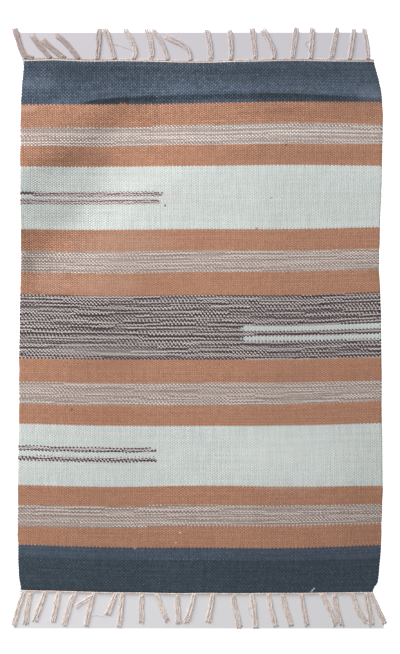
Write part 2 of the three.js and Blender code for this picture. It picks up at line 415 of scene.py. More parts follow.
class SmoothColumn:
    """A cubic curve through one column of a table, level beyond both ends."""

    def __init__(self, places: Sequence[float], values: Sequence) -> None:
        """Fits the curve.

        Args:
            places: the key column, rising.
            values: a value for each place, or a row of values.
        """
        self.places = np.array(places, float)
        self.values = np.array(values, float)
        gaps = np.diff(self.places).reshape(-1, *[1] * (self.values.ndim - 1))
        steps = np.diff(self.values, axis=0) / gaps
        self.slopes = np.concatenate([steps[:1], (steps[1:] + steps[:-1]) / 2, steps[-1:]])

    def __call__(self, at: Array) -> Array:
        """Reads the curve.

        Args:
            at: places on the key column.
        Returns:
            The value, or the row of values, at each place.
        """
        at = np.clip(np.asarray(at, float), self.places[0], self.places[-1])
        k = np.clip(np.searchsorted(self.places, at, "right") - 1, 0, len(self.places) - 2)
        wide = self.places[k + 1] - self.places[k]
        t = (at - self.places[k]) / wide
        if self.values.ndim > 1:
            t, wide = t[..., None], wide[..., None]
        rise_low, rise_high = self.slopes[k] * wide, self.slopes[k + 1] * wide
        return cubic(t, self.values[k], self.values[k + 1], rise_low, rise_high)


@dataclass
class ClothShape:
    """The rug's plan and folds. Millimetres, in the frame's own coordinates once shifted."""

    thick: float = 4.0
    middle_level: float = -1.3
    crest_power: float = 1.5
    samples: int = 400
    left: SmoothColumn = field(init=False)
    right: SmoothColumn = field(init=False)
    far: SmoothColumn = field(init=False)
    near: SmoothColumn = field(init=False)
    band_marks: Array = field(init=False)
    level_marks: Array = field(init=False)
    bow_levels: list[float] = field(init=False)
    bow_curves: list[SmoothColumn] = field(init=False)
    shift: Span = field(init=False)

    def __post_init__(self) -> None:
        """Fits the outline's curves and finds where the frame puts the rug."""
        levels = [row.y for row in SELVEDGES]
        places = [row.x for row in LAST_PICKS]
        self.left = SmoothColumn(levels, [row.left for row in SELVEDGES])
        self.right = SmoothColumn(levels, [row.right for row in SELVEDGES])
        self.far = SmoothColumn(places, [row.far for row in LAST_PICKS])
        self.near = SmoothColumn(places, [row.near for row in LAST_PICKS])
        self.band_marks = np.cumsum([0] + [band.picks for band in BANDS])
        lengths = np.cumsum([0] + [band.length for band in BANDS])
        self.level_marks = lengths - lengths[-1] / 2 + self.middle_level
        self.bow_levels = [self.level_marks[0], *[row.level for row in BOWS], self.level_marks[-1]]
        self.bow_curves = [SmoothColumn(BOW_STATIONS, row[1:]) for row in BOWS]
        across = np.linspace(levels[0], levels[-1], self.samples)
        along = np.linspace(places[0], places[-1], self.samples)
        middle_x = (self.left(across).min() + self.right(across).max()) / 2
        middle_y = (self.near(along).min() + self.far(along).max()) / 2
        low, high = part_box("woven_field")
        self.shift = ((low.x + high.x) / 2 / MM - middle_x, (low.y + high.y) / 2 / MM - middle_y)

    def level_of(self, picks: Array) -> Array:
        """The mean level along the rug of places counted in picks from the near end."""
        return np.interp(picks, self.band_marks, self.level_marks)

    def bow(self, x: Array, levels: Array) -> Array:
        """How far the weft stands towards the far end of its mean level.

        Args:
            x: places across the rug, one row of them for each level.
            levels: the mean level of each row.
        Returns:
            An offset for each place.
        """
        rows = [self.near(x) - self.level_marks[0]]
        rows += [curve(x) for curve in self.bow_curves]
        rows += [self.far(x) - self.level_marks[-1]]
        weights = SmoothColumn(self.bow_levels, np.eye(len(rows)))(levels)
        return np.einsum("jr,rji->ji", weights, np.array(rows))

    def plan(self, across: Array, levels: Array) -> tuple[Array, Array]:
        """Lays a lattice over the cloth.

        Args:
            across: shares of the cloth's width.
            levels: mean levels along the rug.
        Returns:
            The places across and along, one row for each level.
        """
        left, right = self.left(levels)[:, None], self.right(levels)[:, None]
        x = left + (right - left) * across[None, :]
        return x, levels[:, None] + self.bow(x, levels)

    def rise(self, x: Array, y: Array) -> Array:
        """How far the cloth's underside stands off the floor.

        Args:
            x: places across the rug.
            y: places along the rug.
        Returns:
            A height for each place.
        """
        rise = np.zeros(np.broadcast(x, y).shape)
        for fold in FOLDS:
            run, side = (x, y) if fold.run == "x" else (y, x)
            share = np.clip((run - fold.start_run) / (fold.end_run - fold.start_run), 0, 1)
            chord = fold.start + (fold.end - fold.start) * share
            bend = fold.middle - (fold.start + fold.end) / 2
            off = side - chord - bend * 4 * share * (1 - share)
            off = np.minimum(np.abs(off / np.where(off < 0, fold.low, fold.high)), 1)
            smooth_hump = (1 + np.cos(math.pi * off)) / 2
            hump = (1 - fold.sharp) * smooth_hump + fold.sharp * (1 - off) ** self.crest_power
            taper = np.maximum(np.sin(math.pi * share), 0) ** fold.taper
            rise = np.maximum(rise, fold.rise * taper * hump)
        return rise

    def placed(self, points: Array) -> Array:
        """Points of the tables' coordinates, in metres in the frame's."""
        return (points + np.array([*self.shift, 0.0])) * MM


class Wiring:
    """Adds nodes to one node tree and links them, so that a finish reads as a list of steps."""

    COLUMNS = 14

    def __init__(self, tree: NodeTree) -> None:
        """Starts on an empty tree."""
        self.tree = tree
        self.count = 0

    def node(self, kind: str, **settings: object) -> Node:
        """A new node with the given settings."""
        made = self.tree.nodes.new(kind)
        made.location = (220 * (self.count % self.COLUMNS), -240 * (self.count // self.COLUMNS))
        self.count += 1
        for name, value in settings.items():
            setattr(made, name, value)
        return made

    def feed(self, socket: NodeSocket, source: Source) -> None:
        """Links a socket to another, or sets its value."""
        if isinstance(source, NodeSocket):
            self.tree.links.new(source, socket)
        else:
            socket.default_value = source

    def maths(self, operation: str, *values: Source, clamp: bool = False) -> NodeSocket:
        """The result of one arithmetic step."""
        made = self.node("ShaderNodeMath", operation=operation, use_clamp=clamp)
        for socket, value in zip(made.inputs, values):
            self.feed(socket, value)
        return made.outputs[0]

    def scaled(self, colour: Source, factor: Source) -> NodeSocket:
        """A colour made lighter or darker by a factor."""
        made = self.node("ShaderNodeVectorMath", operation="SCALE")
        self.feed(made.inputs["Vector"], colour)
        self.feed(made.inputs["Scale"], factor)
        return made.outputs["Vector"]

    def mapped(self, value: Source, low: Source, high: Source, to_low: Source = 0.0,
               to_high: Source = 1.0, smooth: bool = False) -> NodeSocket:
        """A value taken from one range to another, held at its ends."""
        shape = "SMOOTHSTEP" if smooth else "LINEAR"
        made = self.node("ShaderNodeMapRange", interpolation_type=shape, clamp=True)
        for socket, source in zip(made.inputs, (value, low, high, to_low, to_high)):
            self.feed(socket, source)
        return made.outputs["Result"]

    def mixed(self, share: Source, first: Source, second: Source) -> NodeSocket:
        """A colour between two colours."""
        made = self.node("ShaderNodeMix", data_type="RGBA", clamp_factor=True)
        self.feed(made.inputs["Factor"], share)
        self.feed(next(s for s in made.inputs if s.identifier == "A_Color"), first)
        self.feed(next(s for s in made.inputs if s.identifier == "B_Color"), second)
        return next(s for s in made.outputs if s.identifier == "Result_Color")

    def blended(self, share: Source, first: Source, second: Source) -> NodeSocket:
        """A number between two numbers."""
        made = self.node("ShaderNodeMix", data_type="FLOAT", clamp_factor=True)
        self.feed(made.inputs["Factor"], share)
        self.feed(next(s for s in made.inputs if s.identifier == "A_Float"), first)
        self.feed(next(s for s in made.inputs if s.identifier == "B_Float"), second)
        return next(s for s in made.outputs if s.identifier == "Result_Float")

    def joined(self, x: Source, y: Source, z: Source = 0.0) -> NodeSocket:
        """A vector of three numbers."""
        made = self.node("ShaderNodeCombineXYZ")
        for socket, source in zip(made.inputs, (x, y, z)):
            self.feed(socket, source)
        return made.outputs[0]

    def parted(self, vector: Source) -> tuple[NodeSocket, ...]:
        """The three numbers of a vector."""
        made = self.node("ShaderNodeSeparateXYZ")
        self.feed(made.inputs[0], vector)
        return tuple(made.outputs)

    def noise(self, vector: Source, scale: Source = 1.0, detail: float = 0.0,
              rough: float = 0.5) -> NodeSocket:
        """Smooth noise from 0 to 1 over a plane."""
        made = self.node("ShaderNodeTexNoise", noise_dimensions="2D")
        self.feed(made.inputs["Vector"], vector)
        self.feed(made.inputs["Scale"], scale)
        self.feed(made.inputs["Detail"], detail)
        self.feed(made.inputs["Roughness"], rough)
        return made.outputs["Fac"]

    def chance(self, vector: Source) -> NodeSocket:
        """A random number from 0 to 1 for each place."""
        made = self.node("ShaderNodeTexWhiteNoise", noise_dimensions="3D")
        self.feed(made.inputs["Vector"], vector)
        return made.outputs["Value"]

    def steps(self, number: Source, colours: Sequence[tuple]) -> NodeSocket:
        """The colour of a numbered kind, from a ramp with one flat step for each kind."""
        made = self.node("ShaderNodeValToRGB")
        ramp = made.color_ramp
        ramp.interpolation = "CONSTANT"
        for k in range(len(colours) - 2):
            ramp.elements.new((k + 1) / len(colours))
        for k, colour in enumerate(colours):
            ramp.elements[k].position = k / len(colours)
            ramp.elements[k].color = colour
        share = self.maths("MULTIPLY_ADD", number, 1 / len(colours), 0.5 / len(colours))
        self.feed(made.inputs["Fac"], share)
        return made.outputs["Color"]

    def placed(self, tree: NodeTree, **sources: Source) -> Node:
        """A node group, fed by its inputs' names with underscores for spaces."""
        made = self.node("ShaderNodeGroup", node_tree=tree)
        for name, source in sources.items():
            self.feed(made.inputs[name.replace("_", " ").capitalize()], source)
        return made


class GroupWiring(Wiring):
    """Builds one shader node group with named inputs and outputs."""

    TYPES = {"number": "NodeSocketFloat", "vector": "NodeSocketVector", "colour": "NodeSocketColor"}

    def __init__(self, name: str, inputs: dict[str, str], outputs: dict[str, str]) -> None:
        """Makes the group's sockets.

        Args:
            name: the group's name.
            inputs: the kind of each input, by name.
            outputs: the kind of each output, by name.
        """
        super().__init__(bpy.data.node_groups.new(name, "ShaderNodeTree"))
        for in_out, sockets in (("INPUT", inputs), ("OUTPUT", outputs)):
            for label, kind in sockets.items():
                self.tree.interface.new_socket(label, in_out=in_out, socket_type=self.TYPES[kind])
        self.given = self.node("NodeGroupInput").outputs
        self.result = self.node("NodeGroupOutput").inputs


class WeaveGroups:
    """The shader node groups that the rug's finishes share, each built once."""

    def __init__(self) -> None:
        """Builds every group."""
        self.lattice = self.build_lattice()
        self.stripe = self.build_stripe()
        self.marl = self.build_marl()
        self.tone = self.build_tone()
        self.bead = self.build_bead()
        self.fuzz = self.build_fuzz()
        self.flecks = self.build_flecks()
        self.slack = self.build_slack()
        self.crease = self.build_crease()

    @staticmethod
    def build_lattice() -> NodeTree:
        """Says which pick and warp a place belongs to, and where in their bead it lies."""
        w = GroupWiring(
            "weave lattice",
            {"Weave": "vector", "Bulge": "number", "Slant": "number"},
            {"Column": "number", "Pick": "number", "Across": "number", "Along": "number",
             "Chance": "number"},
        )
        columns, picks, _ = w.parted(w.given["Weave"])
        swell = w.maths("PINGPONG", w.maths("ADD", picks, 0.5), 1.0)
        swell = w.maths("MULTIPLY_ADD", swell, 2.0, -1.0)
        sway = w.maths("COSINE", w.maths("MULTIPLY", columns, math.pi))
        sway = w.maths("MULTIPLY", w.maths("MULTIPLY", sway, swell), w.given["Bulge"])
        columns = w.maths("ADD", columns, sway)
        column = w.maths("FLOOR", columns)
        parity = w.maths("FLOORED_MODULO", column, 2.0)
        across = w.maths("FRACT", columns)
        turn = w.maths("COSINE", w.maths("MULTIPLY", w.maths("SUBTRACT", columns, 0.5), math.pi))
        stagger = w.mapped(turn, -0.7, 0.7, 1.0, 0.0)
        level = w.maths("SUBTRACT", w.maths("ADD", picks, 0.5), stagger)
        level = w.maths("MULTIPLY_ADD", w.maths("SUBTRACT", across, 0.5), w.given["Slant"], level)
        halves = w.maths("MULTIPLY", level, 0.5)
        pick = w.maths("MULTIPLY_ADD", w.maths("FLOOR", halves), 2.0, parity)
        w.feed(w.result["Column"], column)
        w.feed(w.result["Pick"], pick)
        w.feed(w.result["Across"], across)
        w.feed(w.result["Along"], w.maths("FRACT", halves))
        w.feed(w.result["Chance"], w.chance(w.joined(column, pick, 0.5)))
        return w.tree

    @staticmethod
    def build_stripe() -> NodeTree:
        """Changes a pick's yarn over part of the width, between two columns with tapered ends."""
        w = GroupWiring(
            "short stripe",
            {"Yarn": "number", "Column": "number", "Pick": "number", "New yarn": "number",
             "From column": "number", "To column": "number", "First pick": "number",
             "Last pick": "number", "Left taper": "number", "Right taper": "number"},
            {"Yarn": "number"},
        )
        given = w.given
        middle = w.maths("MULTIPLY", w.maths("ADD", given["First pick"], given["Last pick"]), 0.5)
        off = w.maths("ABSOLUTE", w.maths("SUBTRACT", given["Pick"], middle))
        start = w.maths("MULTIPLY_ADD", off, given["Left taper"], given["From column"])
        taper = w.maths("MULTIPLY", off, given["Right taper"])
        stop = w.maths("SUBTRACT", given["To column"], taper)
        inside = w.maths("GREATER_THAN", given["Column"], start)
        inside = w.maths("MULTIPLY", inside, w.maths("LESS_THAN", given["Column"], stop))
        low = w.maths("SUBTRACT", given["First pick"], 0.5)
        high = w.maths("ADD", given["Last pick"], 0.5)
        inside = w.maths("MULTIPLY", inside, w.maths("GREATER_THAN", given["Pick"], low))
        inside = w.maths("MULTIPLY", inside, w.maths("LESS_THAN", given["Pick"], high))
        w.feed(w.result["Yarn"], w.blended(inside, given["Yarn"], given["New yarn"]))
        return w.tree

    @staticmethod
    def build_marl() -> NodeTree:
        """Lays two strand colours side by side in each bead, rolling slowly along the pick."""
        w = GroupWiring(
            "marled strands",
            {"Weave": "vector", "Pick": "number", "Across": "number", "Along": "number",
             "Chance": "number", "First": "colour", "Second": "colour", "Second share": "number",
             "Softness": "number", "Restless": "number", "Lay": "number", "Run": "number"},
            {"Colour": "colour", "Turn": "number", "Second": "number"},
        )
        given = w.given
        columns, picks, _ = w.parted(given["Weave"])
        luck = w.chance(w.joined(given["Pick"], 3.7))
        run = w.maths("MULTIPLY", given["Run"], w.maths("MULTIPLY_ADD", luck, 1.5, 0.4))
        place = w.maths("MULTIPLY_ADD", luck, 17.0, w.maths("DIVIDE", columns, run))
        order = w.chance(w.joined(w.maths("FLOOR", place), given["Pick"], 1.7))
        order = w.maths("DIVIDE", w.maths("FLOOR", w.maths("MULTIPLY", order, 4.0)), 4.0)
        row = w.maths("MULTIPLY", given["Pick"], 7.31)
        wobble = w.noise(w.joined(w.maths("MULTIPLY", columns, 0.11), row), 1.0, 1.0)
        phase = w.maths("MULTIPLY_ADD", wobble, 0.35, order)
        set_lay = w.maths("MULTIPLY_ADD", w.maths("SUBTRACT", wobble, 0.5), 1.1, given["Lay"])
        phase = w.blended(w.maths("GREATER_THAN", given["Lay"], 0.01), phase, set_lay)
        phase = w.maths("MULTIPLY_ADD", given["Across"], 0.12, phase)
        phase = w.maths("MULTIPLY_ADD", given["Chance"], given["Restless"], phase)
        turn = w.maths("FRACT", w.maths("ADD", given["Along"], phase))
        ramp = w.maths("ABSOLUTE", w.maths("MULTIPLY_ADD", turn, 2.0, -1.0))
        haze = w.joined(w.maths("MULTIPLY", columns, 0.045), w.maths("MULTIPLY", picks, 0.16))
        haze = w.mapped(w.noise(haze, 1.0, 1.0), 0.5, 0.72, 1.0, 4.5)
        softness = w.maths("MULTIPLY", given["Softness"], haze)
        low = w.maths("SUBTRACT", given["Second share"], softness)
        high = w.maths("ADD", given["Second share"], softness)
        second = w.mapped(ramp, low, high, 1.0, 0.0, smooth=True)
        w.feed(w.result["Colour"], w.mixed(second, given["First"], given["Second"]))
        w.feed(w.result["Turn"], turn)
        w.feed(w.result["Second"], second)
        return w.tree

    @staticmethod
    def build_tone() -> NodeTree:
        """Lightens and darkens the cloth a little from bead to bead, pick to pick and in streaks."""
        w = GroupWiring(
            "yarn tone",
            {"Weave": "vector", "Pick": "number", "Chance": "number", "Bead spread": "number",
             "Pick spread": "number", "Streak spread": "number", "Rib spread": "number"},
            {"Tone": "number"},
        )
        given = w.given
        columns, picks, _ = w.parted(given["Weave"])
        bead = w.maths("MULTIPLY", w.maths("SUBTRACT", given["Chance"], 0.5), given["Bead spread"])
        row = w.chance(w.joined(given["Pick"], 11.3))
        row = w.maths("MULTIPLY", w.maths("SUBTRACT", row, 0.5), given["Pick spread"])
        course = w.joined(w.maths("MULTIPLY", columns, 0.03), w.maths("MULTIPLY", given["Pick"], 0.9))
        streak = w.maths("SUBTRACT", w.noise(course, 1.0, 2.0), 0.5)
        cloud = w.joined(w.maths("MULTIPLY", columns, 0.035), w.maths("MULTIPLY", picks, 0.022))
        cloud = w.maths("SUBTRACT", w.noise(cloud, 1.0, 3.0), 0.5)
        streak = w.maths("MULTIPLY_ADD", cloud, 0.5, streak)
        streak = w.maths("MULTIPLY", streak, given["Streak spread"])
        rib = w.joined(w.maths("MULTIPLY", columns, 0.83), w.maths("MULTIPLY", picks, 0.045))
        rib = w.maths("MULTIPLY", w.maths("SUBTRACT", w.noise(rib), 0.5), given["Rib spread"])
        total = w.maths("ADD", w.maths("ADD", w.maths("ADD", bead, row), streak), rib)
        w.feed(w.result["Tone"], w.maths("ADD", total, 1.0))
        return w.tree

    @staticmethod
    def build_bead() -> NodeTree:
        """The rounded relief of a bead and of the strands in it, and the grooves between beads."""
        w = GroupWiring(
            "bead relief",
            {"Across": "number", "Along": "number", "Turn": "number", "Strands": "number",
             "Bead height": "number", "Strand height": "number"},
            {"Height": "number", "Open": "number"},
        )
        given = w.given
        wide = w.maths("SINE", w.maths("MULTIPLY", given["Across"], math.pi))
        tall = w.maths("SINE", w.maths("MULTIPLY", given["Along"], math.pi))
        dome = w.maths("POWER", w.maths("MULTIPLY", wide, tall), 0.6)
        strand = w.maths("FRACT", w.maths("MULTIPLY", given["Turn"], given["Strands"]))
        strand = w.maths("SINE", w.maths("MULTIPLY", strand, math.pi))
        strand = w.maths("MULTIPLY", w.maths("MULTIPLY", strand, dome), given["Strand height"])
        w.feed(w.result["Height"], w.maths("MULTIPLY_ADD", dome, given["Bead height"], strand))
        opened = w.maths("MULTIPLY", w.maths("POWER", wide, 0.6), tall)
        w.feed(w.result["Open"], w.mapped(opened, 0.0, 0.6, smooth=True))
        return w.tree

    @staticmethod
    def build_fuzz() -> NodeTree:
        """Fine cotton fibres: a stretched grain in colour and relief."""
        w = GroupWiring(
            "cotton fuzz",
            {"Place": "vector", "Fineness": "number", "Stretch": "number"},
            {"Grain": "number", "Height": "number"},
        )
        x, y, z = w.parted(w.given["Place"])
        grain = w.node("ShaderNodeTexNoise", noise_dimensions="3D")
        w.feed(grain.inputs["Vector"], w.joined(w.maths("DIVIDE", x, w.given["Stretch"]), y, z))
        w.feed(grain.inputs["Scale"], w.given["Fineness"])
        grain.inputs["Detail"].default_value = 2.0
        w.feed(w.result["Grain"], grain.outputs["Fac"])
        w.feed(w.result["Height"], w.maths("SUBTRACT", grain.outputs["Fac"], 0.5))
        return w.tree

    @staticmethod
    def build_flecks() -> NodeTree:
        """Scattered light specks of lint and bare warp."""
        w = GroupWiring(
            "lint flecks",
            {"Place": "vector", "Spacing": "number", "Size": "number", "Share": "number"},
            {"Mask": "number"},
        )
        given = w.given
        cells = w.node("ShaderNodeTexVoronoi", voronoi_dimensions="2D", feature="F1")
        w.feed(cells.inputs["Vector"], given["Place"])
        w.feed(cells.inputs["Scale"], w.maths("DIVIDE", 1.0, given["Spacing"]))
        reach = w.maths("DIVIDE", given["Size"], given["Spacing"])
        spot = w.mapped(cells.outputs["Distance"], 0.0, reach, 1.0, 0.0)
        picked = w.parted(cells.outputs["Color"])[0]
        picked = w.maths("LESS_THAN", picked, given["Share"])
        w.feed(w.result["Mask"], w.maths("MULTIPLY", spot, picked))
        return w.tree

    @staticmethod
    def build_crease() -> NodeTree:
        """The shade on the near side of a pressed crease, and the light on its far side."""
        w = GroupWiring(
            "crease shade",
            {"Weave": "vector", "Start column": "number", "End column": "number", "Start pick": "number",
             "Bow": "number", "End pick": "number", "Reach": "number", "Body": "number"},
            {"Mask": "number", "Crest": "number"},
        )
        given = w.given
        columns, picks, _ = w.parted(given["Weave"])
        share = w.mapped(columns, given["Start column"], given["End column"])
        chord = w.blended(share, given["Start pick"], given["End pick"])
        arch = w.maths("MULTIPLY", share, w.maths("SUBTRACT", 1.0, share))
        crest = w.maths("MULTIPLY_ADD", arch, w.maths("MULTIPLY", given["Bow"], 4.0), chord)
        below = w.maths("SUBTRACT", crest, picks)
        begun = w.mapped(below, -0.25, 0.35, smooth=True)
        line = w.mapped(below, 0.3, 1.6, 1.0, given["Body"])
        line = w.maths("MULTIPLY", line, w.mapped(below, 1.6, given["Reach"], 1.0, 0.35))
        far = w.maths("MULTIPLY", given["Reach"], 1.8)
        line = w.maths("MULTIPLY", line, w.mapped(below, given["Reach"], far, 1.0, 0.0))
        border = PICKS - BANDS[-1].picks
        line = w.maths("MULTIPLY", line, w.mapped(picks, border - 0.8, border + 0.6))
        ends = w.mapped(arch, 0.02, 0.1, smooth=True)
        w.feed(w.result["Mask"], w.maths("MULTIPLY", w.maths("MULTIPLY", begun, line), ends))
        above = w.mapped(below, -0.2, -1.0, smooth=True)
        above = w.maths("MULTIPLY", above, w.mapped(below, -2.5, -9.0, 1.0, 0.0))
        w.feed(w.result["Crest"], w.maths("MULTIPLY", above, ends))
        return w.tree

    @staticmethod
    def build_slack() -> NodeTree:
        """Where the cloth was woven slackly: its far end, its far left part and the left wave's dark face
        there, which also gets painted shade.
        """
        w = GroupWiring(
            "slack cloth",
            {"Weave": "vector"},
            {"Mask": "number", "Fold": "number"},
        )
        columns, picks, _ = w.parted(w.given["Weave"])
        cloud = w.joined(w.maths("MULTIPLY", columns, 0.035), w.maths("MULTIPLY", picks, 0.03))
        cloud = w.maths("SUBTRACT", w.noise(cloud, 1.0, 2.0), 0.5)
        far = w.mapped(w.maths("MULTIPLY_ADD", cloud, 60.0, picks), 318.0, 362.0, smooth=True)
        far = w.maths("MULTIPLY", far, w.mapped(columns, 110.0, 190.0, 1.0, 0.55))
        left = w.mapped(w.maths("MULTIPLY_ADD", cloud, 60.0, columns), 62.0, 14.0, smooth=True)
        upper = w.mapped(w.maths("MULTIPLY_ADD", cloud, 60.0, picks), 196.0, 236.0, smooth=True)
        mask = w.maths("MAXIMUM", far, w.maths("MULTIPLY", left, upper))
        # The dark face of the left wave, for its painted shade
        middle = w.maths("MULTIPLY", w.maths("SUBTRACT", picks, 240.0), 0.42)
        right = w.maths("SUBTRACT", w.maths("MULTIPLY_ADD", cloud, 12.0, columns), middle)
        one_sided = w.mapped(picks, 318.0, 342.0, -0.1, -1.0)
        away = w.maths("MAXIMUM", right, w.maths("MULTIPLY", right, one_sided))
        fold = w.mapped(away, 19.0, 3.0, smooth=True)
        fold = w.maths("MULTIPLY", fold, w.mapped(picks, 222.0, 270.0, smooth=True))
        fold = w.maths("MULTIPLY", fold, w.mapped(picks, 374.0, 320.0, smooth=True))
        w.feed(w.result["Mask"], w.maths("MAXIMUM", mask, w.maths("MULTIPLY", fold, 0.8)))
        w.feed(w.result["Fold"], fold)
        return w.tree


def bare_material(name: str) -> tuple[Material, Wiring, Node]:
    """A new material with only a Principled shader and its output.

    Args:
        name: the material's name.
    Returns:
        The material, its wiring and its shader node.
    """
    material = bpy.data.materials.new(name)
    material.use_nodes = True
    material.node_tree.nodes.clear()
    w = Wiring(material.node_tree)
    shader = w.node("ShaderNodeBsdfPrincipled")
    output = w.node("ShaderNodeOutputMaterial")
    w.feed(output.inputs["Surface"], shader.outputs["BSDF"])
    return material, w, shader


class Fleck(NamedTuple):
    """A speck or a stain on the cloth, or a patch of painted shade or painted light, placed by column and
    pick.
    """

    name: str
    column: float
    pick: float
    wide: float
    tall: float
    colour: str
    strength: float


FLECKS = tuple(Fleck(*row) for row in (
    ("red lint in clay 6", 29.2, 140.4, 0.8, 1.4, "#8a3a2c", 0.8),
    ("grey speck in clay 7", 142.0, 66.1, 0.7, 1.0, "#6f6a68", 0.7),
    ("cream speck in clay 8", 89.3, 41.4, 0.6, 0.9, "#e9dccd", 0.8),
    ("cream speck in clay 8, nearer", 87.2, 33.0, 0.6, 0.8, "#e9dccd", 0.7),
    ("dark speck in clay 2", 147.0, 340.2, 0.7, 1.0, "#4d3d38", 0.8),
    ("brown specks in far mint", 139.3, 296.6, 0.8, 1.0, "#8f7466", 0.7),
    ("white lint in the near border", 164.9, 0.7, 0.45, 0.8, "#efe6e4", 0.75),
    ("its middle", 165.5, 1.7, 0.45, 0.8, "#efe6e4", 0.75),
    ("its farther end", 166.1, 2.8, 0.45, 0.8, "#efe6e4", 0.75),
    # Patches of painted shade and painted light, where folds and the lamps shade the cloth, among worn and
    # faded places
    ("painted shade, far left corner", 27.0, 391.5, 16.0, 9.0, "#26303c", 0.38),
    ("painted shade, far border, right", 152.0, 391.0, 46.0, 10.0, "#2b3642", 0.2),
    ("painted sheen, far left edge", 3.0, 370.0, 7.0, 4.0, "#dcbcae", 0.2),
    ("painted light, far left corner", 9.0, 385.5, 11.0, 4.5, "#8a94a2", 0.12),
    ("lighter, far right edge", 194.0, 378.0, 9.0, 7.0, "#8a94a2", 0.15),
    ("painted shade, far border, left", 47.0, 387.0, 26.0, 12.0, "#26303c", 0.14),
    ("painted shade, clay 1 and oat 1, left", 10.0, 358.0, 30.0, 17.0, "#4e3e38", 0.24),
    ("faded, oat 1", 130.0, 347.5, 140.0, 6.5, "#e6e2e4", 0.09),
    ("painted shade, far end of the fold", 64.0, 318.0, 16.0, 9.0, "#7f7a78", 0.12),
    ("worn, plum middle, right", 146.0, 196.0, 60.0, 12.0, "#3d333b", 0.14),
    ("worn, near border, right", 150.0, 14.0, 60.0, 16.0, "#20272e", 0.13),
    ("painted shade, clay 2, left", 16.0, 335.0, 22.0, 12.0, "#4e3e38", 0.1),
    ("worn, clay 1, right", 168.0, 364.0, 50.0, 11.0, "#6b4c3e", 0.17),
    ("worn, clay 2, right", 156.0, 332.0, 46.0, 11.0, "#6b4c3e", 0.14),
    ("painted shade, far mint, near its left end", 22.0, 281.0, 16.0, 14.0, "#857f7c", 0.2),
    ("faded, lines in far mint", 44.0, 297.0, 60.0, 8.0, "#c9adb0", 0.16),
    ("worn, spot at the left edge", 4.0, 243.0, 5.0, 7.0, "#4a3c38", 0.32),
    ("faded, clay 3 and oat 2", 55.0, 259.0, 34.0, 14.0, "#f0e0d4", 0.07),
    ("faded, clay 4", 17.0, 228.0, 12.0, 13.0, "#e8cdbc", 0.12),
    ("faded, near mint", 149.0, 100.0, 44.0, 30.0, "#eef3f0", 0.16),
    ("pale streak in plum middle", 46.0, 185.0, 44.0, 3.0, "#b8aeaa", 0.3),
    ("painted shade, far mint, right", 140.0, 297.0, 85.0, 32.0, "#8f9897", 0.14),
    ("painted shade, oat 2, left", 12.0, 246.0, 14.0, 9.0, "#5d504b", 0.16),
    ("faded, clay 4, farther right", 47.0, 228.0, 24.0, 12.0, "#e8cdbc", 0.1),
    ("worn, near right edge", 190.0, 50.0, 18.0, 38.0, "#5a4034", 0.11),
    ("worn, oat 3", 100.0, 151.0, 24.0, 10.0, "#6b5a52", 0.12),
    ("warm place in clay 6", 47.0, 136.0, 28.0, 9.0, "#96512f", 0.12),
))


class CreaseRow(NamedTuple):
    """A pressed crease's crest, in columns and picks, and how dark and light its two sides are."""

    name: str
    start_column: float
    end_column: float
    start_pick: float
    bow: float
    end_pick: float
    reach: float
    body: float
    depth: float
    glow: float


CREASES = tuple(CreaseRow(*row) for row in (
    ("far crease", 28.3, 215.0, 373.9, 5.0, 373.7, 9.0, 0.4, 0.17, 0.14),
    ("its deep left part", 35.0, 77.0, 374.9, 1.0, 378.4, 7.0, 0.7, 0.42, 0.0),
    ("its darkest corner", 34.0, 62.0, 374.9, 0.7, 377.7, 5.0, 0.9, 0.5, 0.0),
    ("its deep right part", 124.0, 184.0, 379.2, 0.4, 376.3, 7.0, 0.5, 0.36, 0.0),
    ("faint crease", 45.0, 150.0, 389.5, 0.6, 389.0, 3.5, 0.4, 0.22, 0.0),
))


